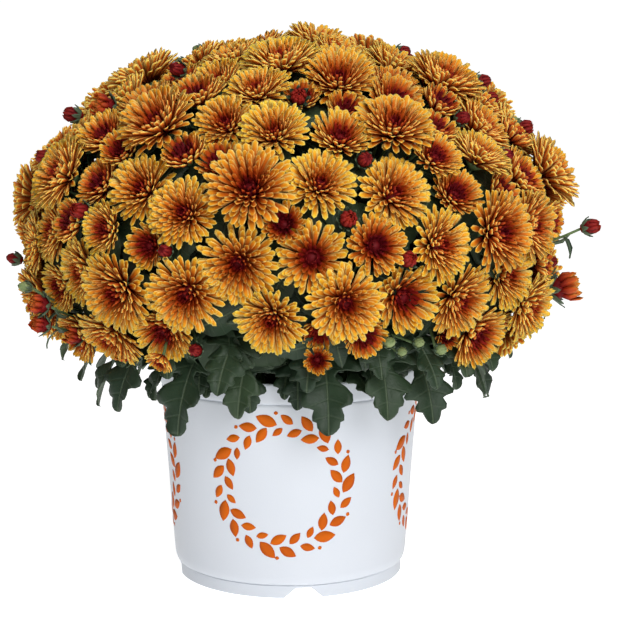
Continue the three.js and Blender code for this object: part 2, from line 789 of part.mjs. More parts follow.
const bloomNodes = leaders.map((leader) => {
  const first = leader.spray * (FOLLOWERS + 1);
  return joined(bloomParts.slice(first, first + FOLLOWERS + 1));
});

const greenParts = leaders.map((leader) => {
  const first = leader.spray * (FOLLOWERS + 1);
  return [frameSolid(ways[leader.spray], leader, blooms.slice(first + 1, first + FOLLOWERS + 1))];
});

const lowLeaders = leaders.filter((leader) => leader.place.lift < 0.05);
for (const row of SKIRT_LEAVES) {
  const spray = nearestSpray(lowLeaders, polar(row[0], DOME_RADIUS, DOME_EDGE));
  greenParts[spray].push(skirtLeaf(row, ways[spray]));
}

for (const row of FREE_BUDS) {
  const spray = nearestSpray(leaders, polar(...row));
  greenParts[spray].push(budSolid(onStem(ways[spray], BUD_STALK), row));
}

// Each spray's small leaf takes the first side on which it is clear of all the other pieces.
const others = [...bloomNodes, ...greenParts.map(joined)];
leaders.slice(FIRST_LEAFY_SPRAY).forEach((leader) => {
  const own = leaders.length + leader.spray;
  for (let k = 0; k < FOLLOWERS; k += 1) {
    const leaf = innerLeaf(ways[leader.spray], leader, (2 * Math.PI * k) / FOLLOWERS);
    if (!others.some((other, i) => i !== own && touching(leaf, other))) {
      greenParts[leader.spray].push(leaf);
      others[own] = joined([others[own], leaf]);
      return;
    }
  }
});

const greenNodes = greenParts.map(joined);

// ---- soil ----

function soilSolid() {
  const low = FLOOR_UNDER + WALL + FIT;
  const body = solidOf(lathe([
    [0, low],
    [LEDGE_RADIUS - WALL - 0.4, low],
    [innerRadius(STEP_HEIGHT) - 0.4, STEP_HEIGHT],
    [innerRadius(SOIL_EDGE) - 0.4, SOIL_EDGE],
    [0, SOIL_CROWN],
  ]));
  return ways.reduce((whole, way) => {
    const foot = way.getPoint(0);
    const path = [foot.clone().setZ(SOIL_EDGE - HOLE_DEPTH), foot.clone().setZ(SOIL_CROWN + 5)];
    const radius = STEM_FOOT_RADIUS + HOLE_FIT;
    return whole.subtract(tube(path, [radius, radius], HOLE_SIDES));
  }, body);
}

// ---- the object ----

const plant = new THREE.Group();
plant.add(nodeMesh('pot', potSolid(), COLOURS.pot, 0.4));
plant.add(nodeMesh('soil', soilSolid(), COLOURS.soil, 0.95));
leaders.forEach((leader, k) => {
  const label = `spray_${String(k + 1).padStart(2, '0')}`;
  plant.add(nodeMesh(`${label}_greens`, greenNodes[k], COLOURS.green, 0.7));
  plant.add(nodeMesh(`${label}_blooms`, bloomNodes[k], COLOURS.bloom, 0.75));
});

export default plant;
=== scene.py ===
"""A pot chrysanthemum in full bloom, dressed round its solids: metres, +Z up, front towards -Y."""

import math

import bpy
import numpy as np
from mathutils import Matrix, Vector


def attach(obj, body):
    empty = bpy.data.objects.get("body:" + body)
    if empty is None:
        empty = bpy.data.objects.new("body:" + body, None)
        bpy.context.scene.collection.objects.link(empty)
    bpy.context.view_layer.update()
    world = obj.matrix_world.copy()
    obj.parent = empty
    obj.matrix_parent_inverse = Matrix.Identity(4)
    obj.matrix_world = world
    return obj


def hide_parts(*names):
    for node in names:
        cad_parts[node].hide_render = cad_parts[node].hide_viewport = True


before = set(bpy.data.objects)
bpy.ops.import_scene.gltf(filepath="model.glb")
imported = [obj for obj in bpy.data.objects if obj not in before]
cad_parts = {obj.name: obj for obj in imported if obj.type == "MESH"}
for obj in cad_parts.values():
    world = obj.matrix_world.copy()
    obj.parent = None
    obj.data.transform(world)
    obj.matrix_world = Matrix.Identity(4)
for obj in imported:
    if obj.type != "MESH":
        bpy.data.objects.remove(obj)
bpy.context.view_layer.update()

# ---- Camera, floor and light ----
# A long lens a little above the middle of the plant, which looks slightly down. The plant stands
# on a light table before a white wall, in a dimmer room, and two large panels light its front.

CAMERA_LENS = 95.85
CAMERA_SENSOR = 36
CAMERA_PLACE = (0.0136, -1.102, 0.329)
CAMERA_DIP = math.radians(7.87)
ROOM_LIGHT = 0.13
WALL_LIGHT = 1.05
WALL_EDGE = (0.82, 0.93)  # how far back a direction points where the wall begins and is full
PANELS = [  # name, place, size and power
    ("key_panel", (0.52, -1.86, 1.05), 1.0, 28.5), ("top_panel", (0.3, -0.7, 1.9), 0.9, 14),
]
PLANT_MIDDLE = Vector((0, 0, 0.2))
TABLE_REACH = 20
TABLE_PAINT = {
    "Base Color": (0.7, 0.7, 0.7, 1), "Roughness": 0.6,
    "Emission Color": (1, 1, 1, 1), "Emission Strength": 0.86,
}


def show(name, data):
    """A new object in the scene."""
    made = bpy.data.objects.new(name, data)
    bpy.context.collection.objects.link(made)
    return made


class Wire:
    """A socket in a tree of shader nodes: maths with it adds Math nodes to the tree."""

    def __init__(self, tree, socket=None):
        self.tree = tree
        self.socket = socket

    def node(self, kind, settings, inputs, output=0):
        """Adds a node with its settings and with the values or the wires of its sockets."""
        made = self.tree.nodes.new(kind)
        for name, value in settings.items():
            setattr(made, name, value)
        for name, value in inputs.items():
            if isinstance(value, Wire):
                self.tree.links.new(value.socket, made.inputs[name])
            else:
                made.inputs[name].default_value = value
        return Wire(self.tree, made.outputs[output])

    def maths(self, operation, first, second=0.0):
        return self.node("ShaderNodeMath", {"operation": operation}, {0: first, 1: second})

    def __add__(self, other):
        return self.maths("ADD", self, other)

    def __sub__(self, other):
        return self.maths("SUBTRACT", self, other)

    def __rsub__(self, other):
        return self.maths("SUBTRACT", other, self)

    def __mul__(self, other):
        return self.maths("MULTIPLY", self, other)

    __radd__ = __add__
    __rmul__ = __mul__

    def between(self, low, high, start=0.0, end=1.0):
        """A soft step from start, where the wire is low, to end, where it is high."""
        limits = {"From Min": low, "From Max": high, "To Min": start, "To Max": end, "Value": self}
        return self.node("ShaderNodeMapRange", {"interpolation_type": "SMOOTHSTEP"}, limits)

    def mixed(self, first, second):
        """Colours, mixed by this wire as the factor."""
        colours = {0: self, 6: first, 7: second}
        return self.node("ShaderNodeMix", {"data_type": "RGBA"}, colours, 2)

    def tinted(self, stops):
        """Colours from a ramp of (place, colour) stops."""
        ramp = self.node("ShaderNodeValToRGB", {}, {"Fac": self})
        ends = ramp.socket.node.color_ramp.elements
        for spot in (0, -1):
            ends[spot].position = stops[spot][0]
            ends[spot].color = (*stops[spot][1], 1)
        for place, colour in stops[1:-1]:
            ends.new(place).color = (*colour, 1)
        return ramp

    def grain(self, scale, detail=2.0, distortion=0.0):
        """Noise in the object's own space, with scale in grains per metre."""
        place = self.node("ShaderNodeTexCoord", {}, {}, "Object")
        inputs = {"Vector": place, "Scale": scale, "Detail": detail, "Distortion": distortion}
        return self.node("ShaderNodeTexNoise", {}, inputs, "Fac")

    def value_of(self, name):
        """A value that each point of the mesh has."""
        return self.node("ShaderNodeAttribute", {"attribute_name": name}, {}, "Fac")


camera_data = bpy.data.cameras.new("camera")
camera_data.lens = CAMERA_LENS
camera_data.sensor_width = CAMERA_SENSOR
camera = show("camera", camera_data)
camera.location = CAMERA_PLACE
camera.rotation_euler = (math.pi / 2 - CAMERA_DIP, 0, 0)
bpy.context.scene.camera = camera

for panel_name, place, size, power in PANELS:
    light = bpy.data.lights.new(panel_name, "AREA")
    light.shape = "SQUARE"
    light.size = size
    light.energy = power
    lamp = show(panel_name, light)
    lamp.location = place
    lamp.rotation_euler = (PLANT_MIDDLE - lamp.location).to_track_quat("-Z", "Y").to_euler()

room = bpy.data.worlds.new("room")
room.use_nodes = True
background = room.node_tree.nodes["Background"].inputs
background["Color"].default_value = (1, 1, 1, 1)
toward = Wire(room.node_tree).node("ShaderNodeTexCoord", {}, {}, "Generated")
backward = toward.node("ShaderNodeSeparateXYZ", {}, {"Vector": toward}, "Y")
wall = backward.between(*WALL_EDGE, ROOM_LIGHT, WALL_LIGHT)
room.node_tree.links.new(wall.socket, background["Strength"])
bpy.context.scene.world = room
bpy.context.scene.view_settings.view_transform = "Standard"

floor_mesh = bpy.data.meshes.new("floor")
corners = [(x * TABLE_REACH, y * TABLE_REACH, 0) for x, y in ((-1, -1), (1, -1), (1, 1), (-1, 1))]
floor_mesh.from_pydata(corners, [], [(0, 1, 2, 3)])
floor_paint = bpy.data.materials.new("floor_paint")
floor_paint.use_nodes = True
for label, value in TABLE_PAINT.items():
    floor_paint.node_tree.nodes["Principled BSDF"].inputs[label].default_value = value
floor_mesh.materials.append(floor_paint)
floor = show("floor", floor_mesh)

# ---- Pot ----
# A nursery pot, injection-moulded in thin white polypropylene: a tapered wall, a rim band over a
# fine groove, and a foot ring that is set in under a ledge, with four notches and four drain holes.

POT_SEGMENTS = 192
WALL_FOOT = (78.6, 14.0)  # radius and height where the wall is straight from
WALL_TOP = (86.7, 127.5)  # and up to
NOTCH_AZIMUTH = 7.2
NOTCH_OUTLINE = [(-14, -1), (14, -1), (5, 6.6), (-5, 6.6)]
NOTCH_FROM = 66
NOTCH_DEPTH = 16
DRAIN_CIRCLE = 54
DRAIN_RADIUS = 4.5
DRAIN_FROM = 4
DRAIN_DEPTH = 8
DRAIN_SIDES = 20
SHARP_EDGE = math.radians(40)
WHITES = ((0.575, 0.61, 0.665, 1), (0.63, 0.655, 0.70, 1))
POT_OUTLINE = [
    (0, 7.2), (70, 7.2), (73.1, 7.2), (73.5, 6.6), (73.9, 0.5), (74.2, 0), (75.6, 0), (75.9, 0.4),
    (75.4, 5), (75.15, 7.7), (74.95, 7.8), (74.65, 7.9), (74.65, 8.25), (74.95, 8.35), (75.8, 8.45),
    (76.6, 8.7), (77.5, 9.7), (78.1, 11.4),
    WALL_FOOT, (78.7, 15.2), (82.6, 71), (86.6, 126), WALL_TOP, (86.5, 127.9), (86.0, 128.3),
    (86.2, 128.8), (87.0, 129.2), (87.3, 130), (87.4, 131.5), (88.05, 139.8), (88.15, 140.8),
    (87.9, 141.6), (87.3, 142), (86.8, 141.95), (86.3, 141.5), (86.1, 140.8), (84.8, 128.8),
    (84.6, 127), (80.4, 70), (76.8, 15.4), (76.6, 14), (75.6, 12), (73.6, 9.8), (72.6, 9.3),
    (71, 9.2), (0, 9.2),
]
UP = np.array([0.0, 0.0, 1.0])


def new_finish(name, gloss):
    """A material, with its gloss set on the shader itself, and a wire to begin its nodes with."""
    material = bpy.data.materials.new(name)
    material.use_nodes = True
    shader = material.node_tree.nodes["Principled BSDF"]
    shader.inputs["Specular IOR Level"].default_value = gloss
    return material, Wire(material.node_tree)


def feed(material, colour, roughness, relief, depth):
    """Links what varies over the surface: its colour, its roughness and a bump of some depth."""
    bump = {"Strength": 1.0, "Distance": depth, "Height": relief}
    normal = relief.node("ShaderNodeBump", {}, bump)
    sockets = material.node_tree.nodes["Principled BSDF"].inputs
    for label, wire in (("Base Color", colour), ("Roughness", roughness), ("Normal", normal)):
        material.node_tree.links.new(wire.socket, sockets[label])


class Skin:
    """Gathers points in millimetres, faces and point values, and makes one mesh of them."""

    def __init__(self, *names):
        self.points = []
        self.quads = []
        self.tris = []
        self.kinds = {4: [], 3: []}
        self.values = {name: [] for name in names}
        self.count = 0

    def add(self, points, quads=(), tris=(), kind=0, **values):
        points = np.asarray(points, float).reshape(-1, 3)
        for corners, faces, store in ((4, quads, self.quads), (3, tris, self.tris)):
            faces = np.asarray(faces, int).reshape(-1, corners)
            store.append(faces + self.count)
            self.kinds[corners].append(np.full(len(faces), kind))
        for name, store in self.values.items():
            store.append(np.broadcast_to(values.get(name, 0.0), len(points)))
        self.points.append(points)
        self.count += len(points)

    def mesh(self, name, finishes):
        made = bpy.data.meshes.new(name)
        faces = np.concatenate(self.quads).tolist() + np.concatenate(self.tris).tolist()
        made.from_pydata((np.concatenate(self.points) * 0.001).tolist(), [], faces)
        made.polygons.foreach_set("material_index", np.concatenate(self.kinds[4] + self.kinds[3]))
        for label, store in self.values.items():
            layer = made.attributes.new(label, "FLOAT", "POINT")
            layer.data.foreach_set("value", np.concatenate(store))
        for finish in finishes:
            made.materials.append(finish)
        made.shade_smooth()
        return made

    def piece(self, name, finishes, slot, *nodes):
        """One piece that rides on the root and stands for these nodes of the solid model."""
        made = show(name, self.mesh(name, finishes))
        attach(made, "root")
        if nodes:
            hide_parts(*nodes)
        return made


def polar(azimuth, reach, level):
    """A point at an azimuth in degrees from the front, and at a distance from the axis."""
    turn = math.radians(azimuth)
    return np.array([reach * math.sin(turn), -reach * math.cos(turn), level])


def ring_faces(rings, sides, low_end, high_end):
    """The quads of a stack of rings, and the triangles that close it at two end points."""
    here = np.arange(sides)
    then = (here + 1) % sides
    step = np.stack([here, then, then + sides, here + sides], 1)
    last = (rings - 1) * sides
    low = np.stack([np.full(sides, low_end), then, here], 1)
    high = np.stack([here + last, then + last, np.full(sides, high_end)], 1)
    return np.concatenate([step + ring * sides for ring in range(rings - 1)]), low, high


def lathe(skin, outline, segments, axes=np.eye(3), place=0, **values):
    """A turned skin of (radius, height) points round the last axis, out from it and back to it."""
    turns = np.arange(segments) * 2 * np.pi / segments
    reach, heights = np.repeat(np.array(outline[1:-1], float), segments, axis=0).T
    around = np.tile(np.stack([np.sin(turns), -np.cos(turns)], 1), (len(outline) - 2, 1))
    points = np.column_stack([around * reach[:, None], heights])
    poles = [(0, 0, outline[0][1]), (0, 0, outline[-1][1])]
    ends = (len(points), len(points) + 1)
    quads, low, high = ring_faces(len(outline) - 2, segments, *ends)
    points = np.vstack([points, poles]) @ np.array(axes) + place
    skin.add(points, quads, np.vstack([low, high]), **values)


def prism(skin, outline, corner, axes, push):
    """A straight prism: an outline laid out from a corner along two axes, and its pushed copy."""
    points = corner + np.array(outline) @ np.array(axes)
    count = len(points)
    sides = ring_faces(2, count, 0, 0)[0]
    fans = [(0, k + 1, k) for k in range(1, count - 1)]
    fans += [(count, count + k, count + k + 1) for k in range(1, count - 1)]
    skin.add(np.vstack([points, points + push]), sides, fans)


pot_body = Skin()
lathe(pot_body, POT_OUTLINE, POT_SEGMENTS)
cutters = Skin()
drain_turns = np.arange(DRAIN_SIDES) * 2 * np.pi / DRAIN_SIDES
drain_outline = DRAIN_RADIUS * np.column_stack([np.cos(drain_turns), np.sin(drain_turns)])
for quarter in range(4):
    azimuth = NOTCH_AZIMUTH + 90 * quarter
    axes = (polar(azimuth + 90, 1, 0), UP)
    push = polar(azimuth, NOTCH_DEPTH, 0)
    prism(cutters, NOTCH_OUTLINE, polar(azimuth, NOTCH_FROM, 0), axes, push)
    middle = polar(90 * quarter, DRAIN_CIRCLE, DRAIN_FROM)
    prism(cutters, drain_outline, middle, np.eye(3)[:2], DRAIN_DEPTH * UP)

white_plastic, wires = new_finish("white_plastic", 0.32)
mottle = wires.grain(18, 3)
scuffs = wires.grain(70, 6, 1.5).between(0.62, 0.8)
feed(
    white_plastic, (mottle * 0.7).mixed(*WHITES), 0.34 + mottle * 0.12 + scuffs * 0.1,
    wires.grain(900) + scuffs * 0.6, 0.00004,
)

uncut = show("uncut_pot", pot_body.mesh("uncut_pot", [white_plastic]))
cutter = show("pot_cutter", cutters.mesh("pot_cutter", []))
cut = uncut.modifiers.new("cut", "BOOLEAN")
cut.operation = "DIFFERENCE"
cut.solver = "EXACT"
cut.object = cutter
graph = bpy.context.evaluated_depsgraph_get()
pot_mesh = bpy.data.meshes.new_from_object(uncut.evaluated_get(graph))
for passing in (uncut, cutter):
    bpy.data.objects.remove(passing)
pot_mesh.shade_smooth()
pot_mesh.set_sharp_from_angle(angle=SHARP_EDGE)
pot = show("nursery_pot", pot_mesh)
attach(pot, "root")
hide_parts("pot")

# ---- Print on the pot ----
# Four wreaths of orange ink on the wall, a quarter turn apart: pairs of almond leaves that lean in
# and out from a ring, with dots round the outside. The ink stands a tenth of a millimetre proud.

WREATH_AZIMUTH = -2.8
WREATH_MIDDLE = 75.5  # height of its centre
WREATH_RADIUS = 39.8
WREATH_PAIRS = 21
WREATH_LEAVES = [(14.5, 7.6, 4.0, 1), (12, 6.2, -4.2, -1)]  # length, width, offset outward, lean
LEAF_LEAN = math.radians(34)
LEAF_STEP = 0.16  # how much smaller each next one of three leaves is
LEAF_STATIONS = 8
DOT_RADIUS = 1.3
DOT_OFFSET = 8.2
INK_HEIGHT = 0.12
INK_ROOT = -0.3
ORANGES = ((0.48, 0.083, 0.0005, 1), (0.57, 0.112, 0.001, 1))


def wall_radius(height):
    share = (height - WALL_FOOT[1]) / (WALL_TOP[1] - WALL_FOOT[1])
    return WALL_FOOT[0] + (WALL_TOP[0] - WALL_FOOT[0]) * share


def sheet_faces(stations, columns):
    """The faces of a thin sheet, whose top and underside have the same rows of points."""
    count = stations * columns
    faces = []
    for k in range(stations - 1):
        for j in range(columns - 1):
            a, b = k * columns + j, (k + 1) * columns + j
            faces += [(a, b, b + 1, a + 1), (a + count, a + 1 + count, b + 1 + count, b + count)]
        for j, order in ((0, 1), (columns - 1, -1)):
            a, b = k * columns + j, (k + 1) * columns + j
            faces.append((b, a, a + count, b + count)[::order])
    for k, order in ((0, 1), (stations - 1, -1)):
        for j in range(columns - 1):
            a = k * columns + j
            faces.append((a, a + 1, a + 1 + count, a + count)[::order])
    return faces


def almond(skin, azimuth, reach, turn, heading, length, width, tone):
    """An almond of ink, bent round the wall at a reach and a turn from its wreath's centre."""
    share = np.linspace(0, 1, LEAF_STATIONS)
    half = width / 2 * np.sin(np.pi * share) ** 0.8 * (1.12 - 0.24 * share) + 0.05
    along = np.array([math.cos(heading), math.sin(heading)])
    aside = np.outer(half, [-along[1], along[0]])
    centre = reach * np.array([math.cos(turn), math.sin(turn)])
    spine = centre + np.outer((share - 0.5) * length, along)
    flat = np.stack([spine - aside, spine, spine + aside], 1).reshape(-1, 2)
    level = WREATH_MIDDLE + flat[:, 1]
    around = azimuth + flat[:, 0] / wall_radius(level)
    points = []
    for lift in (INK_HEIGHT, INK_ROOT):
        reach = wall_radius(level) + lift
        points.append(np.column_stack([reach * np.sin(around), -reach * np.cos(around), level]))
    skin.add(np.vstack(points), sheet_faces(LEAF_STATIONS, 3), tone=tone)


ink = Skin("tone")
ink_draw = np.random.default_rng(11)
for quarter in range(4):
    azimuth = math.radians(WREATH_AZIMUTH + 90 * quarter)
    for pair in range(WREATH_PAIRS):
        spot = 2 * math.pi * pair / WREATH_PAIRS
        between = spot + math.pi / WREATH_PAIRS
        size = 1 - LEAF_STEP * (pair % 3)
        for length, width, offset, lean in WREATH_LEAVES:
            turn = spot if lean > 0 else between
            heading = turn + math.pi / 2 - lean * LEAF_LEAN
            reach = WREATH_RADIUS + offset
            tone = ink_draw.random()
            almond(ink, azimuth, reach, turn, heading, size * length, size * width, tone)
        if pair % 2:
            across = 2 * DOT_RADIUS
            reach = WREATH_RADIUS + DOT_OFFSET
            almond(ink, azimuth, reach, between, between, across, across, ink_draw.random())

orange_ink, wires = new_finish("orange_ink", 0.12)
feed(
    orange_ink, wires.value_of("tone").mixed(*ORANGES), 0.55 + wires.grain(300) * 0.12,
    wires.grain(1500), 0.00002,
)
ink.piece("leaf_wreaths", [orange_ink], "pot")

# ---- Soil ----
# Dark peat that fills the pot to below the rim and is a little higher in the middle. Crumbs of peat
# and white grains of perlite lie half sunk in it.

SOIL_FOOT = [(0, 9.8), (72, 9.8), (76, 14.2), (84.0, 125)]
SOIL_RADIUS = 84.0
SOIL_EDGE = 126  # level at the wall
SOIL_RISE = 3  # how much higher the middle is
SOIL_RINGS = 30
SOIL_SEGMENTS = 96
CRUMBS = 360
CRUMB_REACH = 81
CRUMB_SINK = 0.2
PERLITE_EVERY = 9
PERLITE_WHITE = (0.72, 0.7, 0.64, 1)
PEATS = [(0.25, (0.012, 0.008, 0.005)), (0.55, (0.045, 0.026, 0.014)), (0.8, (0.12, 0.075, 0.04))]
GOLDEN = (1 + math.sqrt(5)) / 2
LUMP = np.array([  # the corners of a round crumb with twenty faces
    np.roll((a, b, 0), k) for k in range(3) for b in (GOLDEN, -GOLDEN) for a in (-1, 1)
]) / math.hypot(1, GOLDEN)
LUMP_FACES = [
    (0, 11, 5), (0, 5, 1), (0, 1, 7), (0, 7, 10), (0, 10, 11), (1, 5, 9), (5, 11, 4), (11, 10, 2),
    (10, 7, 6), (7, 1, 8), (3, 9, 4), (3, 4, 2), (3, 2, 6), (3, 6, 8), (3, 8, 9), (4, 9, 5),
    (2, 4, 11), (6, 2, 10), (8, 6, 7), (9, 8, 1),
]

soil = Skin("pale")
soil_top = [
    (SOIL_RADIUS * (1 - k / SOIL_RINGS), SOIL_EDGE + SOIL_RISE * k / SOIL_RINGS)
    for k in range(SOIL_RINGS + 1)
]
lathe(soil, SOIL_FOOT + soil_top, SOIL_SEGMENTS)
crumb_draw = np.random.default_rng(23)
for crumb in range(CRUMBS):
    reach = CRUMB_REACH * math.sqrt(crumb_draw.random())
    azimuth = 360 * crumb_draw.random()
    size = 0.7 + 1.6 * crumb_draw.random() ** 2
    shape = LUMP * size * crumb_draw.uniform(0.7, 1.2, LUMP.shape)
    level = SOIL_EDGE + SOIL_RISE * (1 - reach / SOIL_RADIUS) - CRUMB_SINK
    pale = 1.0 if crumb % PERLITE_EVERY == 0 else 0.0
    soil.add(shape + polar(azimuth, reach, level), tris=LUMP_FACES, pale=pale)

moist_peat, wires = new_finish("moist_peat", 0.25)
fibre = wires.grain(420, 6, 0.6)
peat_colour = wires.value_of("pale").between(0.4, 0.6).mixed(fibre.tinted(PEATS), PERLITE_WHITE)
feed(moist_peat, peat_colour, 0.75 + fibre * 0.2, fibre, 0.0012)
soil.piece("potting_soil", [moist_peat], "soil", "soil")

# ---- Where the sprays and their blooms stand ----
# The plant is a dome of branches, or sprays: each has a leading bloom with six more round it. They
# start on a golden-angle spiral and push one another apart over two half ellipsoids.

DOME_RADIUS = 171
DOME_MIDDLE = 232
DOME_RISE = 124
DOME_DROP = 125
DOME_EDGE = 184  # level of the lowest bloom centres at the front and back
DOME_SIDE_DROP = 16  # how much lower they come at the sides
DOME_LEAN = 5  # how far the top leans towards +X
POT_HEIGHT = 142
SPRAYS = 28
SPRAY_SPAN = 1.36  # how far down the dome they go: 1 is its middle
SPIRAL = math.pi * (3 - math.sqrt(5))
FOLLOWERS = 6
MEMBERS = FOLLOWERS + 1
FIRST_STEP = 30
SEED = 2718
BLOOM_SCALE = 1.08
LEADER_SIZE = (22, 3)  # least radius, and how much a draw of 1 adds
FOLLOWER_SIZES = [(0.82, 12, 14), (0.45, 16, 8), (0, 19.5, 7.8)]  # the same, from a draw up
LAYER_HEIGHTS = np.array([-4.5, 0, 4.5])  # how far a bloom stands off the dome
LAYER_REACH = np.array([1.0, 0.86, 0.76])  # share of the radii that keeps two layers apart
BLOOM_GAP = 0.8
FOLLOW_REACH = 0.84
TILT = 0.24  # range of the tilt that each bloom has of its own, in radians
TILT_LIMIT = 0.4
NOD = 0.13  # how far each bloom nods besides
GAZE = 0.14  # how far one on the shoulder turns up to the light
BOW = 0.38  # how far one near the top bows outward
SETTLE = 8  # and how much lower it stands
LOW_FACING = 0.75  # share of the dome's slope that blooms under its middle follow
LOW_LEAN = 0.18  # how far they also lean away from their leading bloom
RELAX_PASSES = 300
RELAX_STIFFNESS = 0.22
BLOOM_BACK = -0.22
FIT = 0.3
CALYX_LENGTH = 6
FOOT_MIDDLE = 7  # distance of the innermost stem's foot from the pot's axis
FOOT_SPREAD = 56  # how much further out the outermost one's stands
FOOT_LEVEL = 130
STEM_BEND = np.array([0.25, 0.25, 0.6])  # where a stem bends, as shares of its way
BEND_SWELL = 20  # how much higher the outermost stems bend


def make_draw(state):
    """Park and Miller's generator: the same draws on every run."""
    while True:
        state = state * 16807 % 2147483647
        yield state / 2147483647


def lowest_lift(turn):
    edge = DOME_EDGE - DOME_SIDE_DROP * np.cos(turn) ** 2
    return np.arcsin((edge - DOME_MIDDLE) / DOME_DROP)


def dome_at(turn, lift):
    """The dome's points and slopes at these turns about Z and lifts."""
    lift = np.maximum(lift, lowest_lift(turn))
    height = np.where(lift > 0, DOME_RISE, DOME_DROP)
    across = DOME_RADIUS * np.cos(lift)
    slope = np.arctan2(np.sin(lift) / height, np.cos(lift) / DOME_RADIUS)
    level = DOME_MIDDLE + height * np.sin(lift)
    return lift, slope, np.stack([across * np.cos(turn), across * np.sin(turn), level], -1)


def onto_dome(points):
    up = points[:, 2] - DOME_MIDDLE
    height = np.where(up > 0, DOME_RISE, DOME_DROP)
    turn = np.arctan2(points[:, 1], points[:, 0])
    lift = np.arctan2(up / height, np.hypot(points[:, 0], points[:, 1]) / DOME_RADIUS)
    return (turn, *dome_at(turn, lift))


def heading_of(turn, slope):
    return np.stack([np.cos(slope) * np.cos(turn), np.cos(slope) * np.sin(turn), np.sin(slope)], -1)


def round_axis(turn):
    """The direction round the pot's axis at a turn."""
    return np.array([-math.sin(turn), math.cos(turn), 0])


def unit(vectors):
    return vectors / np.linalg.norm(vectors, axis=-1, keepdims=True)


def bloom_radius(member, size):
    if member == 0:
        return LEADER_SIZE[0] + LEADER_SIZE[1] * size
    low, radius, growth = next(row for row in FOLLOWER_SIZES if size >= row[0])
    return radius + growth * (size - low)


draw = make_draw(SEED)
starts, radii, tilts = [], [], []
for spray in range(SPRAYS):
    middle_turn = spray * SPIRAL
    middle_lift = math.asin(1 - SPRAY_SPAN * (spray + 0.5) / SPRAYS)
    _, middle_slope, middle = dome_at(np.array(middle_turn), np.array(middle_lift))
    middle_turn = math.atan2(math.sin(middle_turn), math.cos(middle_turn))
    for member in range(MEMBERS):
        radii.append(BLOOM_SCALE * bloom_radius(member, next(draw)))
        swing = member * 2 * math.pi / FOLLOWERS + next(draw)
        step = FIRST_STEP if member else 0
        around = round_axis(middle_turn)
        upward = heading_of(middle_turn, middle_slope + math.pi / 2)
        starts.append(middle + step * math.cos(swing) * around + step * math.sin(swing) * upward)
        tilts.append((next(draw) - 0.5, next(draw) - 0.5))
        next(draw)  # the solid model turns a bloom's rays by this one
radii, tilts = np.array(radii), np.array(tilts)
blooms = np.arange(SPRAYS * MEMBERS)
spray_of = blooms // MEMBERS
member_of = blooms % MEMBERS
layer_of = np.where(member_of == 0, 2, member_of % 2)
turns, lifts, slopes, spots = onto_dome(np.array(starts))
reach = radii[:, None] + radii[None, :]
kin = spray_of[:, None] == spray_of[None, :]
led = kin & ((member_of[:, None] == 0) | (member_of[None, :] == 0))
apart = LAYER_REACH[np.abs(layer_of[:, None] - layer_of[None, :])] * reach + BLOOM_GAP
apart = np.where(kin, reach, apart)
for _ in range(RELAX_PASSES):
    ways = spots[None, :, :] - spots[:, None, :]
    gaps = np.linalg.norm(ways, axis=2) + np.eye(len(blooms))
    miss = np.where(led, gaps - FOLLOW_REACH * reach, np.minimum(gaps - apart, 0))
    np.fill_diagonal(miss, 0)
    moves = (ways * (RELAX_STIFFNESS * miss / gaps)[:, :, None]).sum(axis=1)
    turns, lifts, slopes, spots = onto_dome(spots + moves)

centres = spots + heading_of(turns, slopes) * LAYER_HEIGHTS[layer_of][:, None]
centres[:, 0] += DOME_LEAN * (centres[:, 2] - POT_HEIGHT) / (DOME_MIDDLE + DOME_RISE - POT_HEIGHT)
lifted = slopes + GAZE * np.sin(2 * slopes) - BOW * np.sin(slopes) ** 4
facings = heading_of(
    turns + TILT * tilts[:, 0] / np.maximum(np.cos(slopes), TILT_LIMIT),
    np.where(slopes > 0, lifted, LOW_FACING * slopes) + TILT * tilts[:, 1],
)
aims = centres[spray_of * MEMBERS] - centres
sideways = np.stack([-np.sin(turns), np.cos(turns), np.full(len(turns), 0.1)], -1)
aims = np.where((member_of == 0)[:, None], sideways, aims)
facings = unit(facings + NOD * np.random.default_rng(3).uniform(-1, 1, facings.shape))
settling = SETTLE * np.maximum(np.sin(slopes), 0) ** 4
centres -= heading_of(turns, slopes) * settling[:, None]
low_follower = ((member_of > 0) & (slopes < 0))[:, None]
facings = np.where(low_follower, unit(facings - LOW_LEAN * unit(aims)), facings)
acrosses = unit(aims - (aims * facings).sum(1, keepdims=True) * facings)
asides = np.cross(facings, acrosses)
calyx_ends = centres + facings * (BLOOM_BACK * radii - FIT)[:, None]


def curve(share, start, bend, end):
    """A curve's points at these shares of its way from start to end."""
    return (1 - share) ** 2 * start + 2 * share * (1 - share) * bend + share**2 * end


def along_way(way, share):
    return curve(np.atleast_1d(share)[:, None], *way)


def stem_way(spray):
    """The three points that a spray's main stem bends between: foot, bend and top."""
    leader = spray * MEMBERS
    top = calyx_ends[leader] - CALYX_LENGTH * facings[leader]
    spread = (math.pi / 2 - lifts[leader]) / (math.pi / 2 - lowest_lift(0))
    reach = FOOT_MIDDLE + FOOT_SPREAD * spread
    foot = np.array([reach * math.cos(turns[leader]), reach * math.sin(turns[leader]), FOOT_LEVEL])
    bend = foot + (top - foot) * STEM_BEND
    bend[2] += BEND_SWELL * spread**3
    return np.array([foot, bend, top])


stem_ways = [stem_way(spray) for spray in range(SPRAYS)]


def on_stem(spray, share):
    return along_way(stem_ways[spray], share)[0]
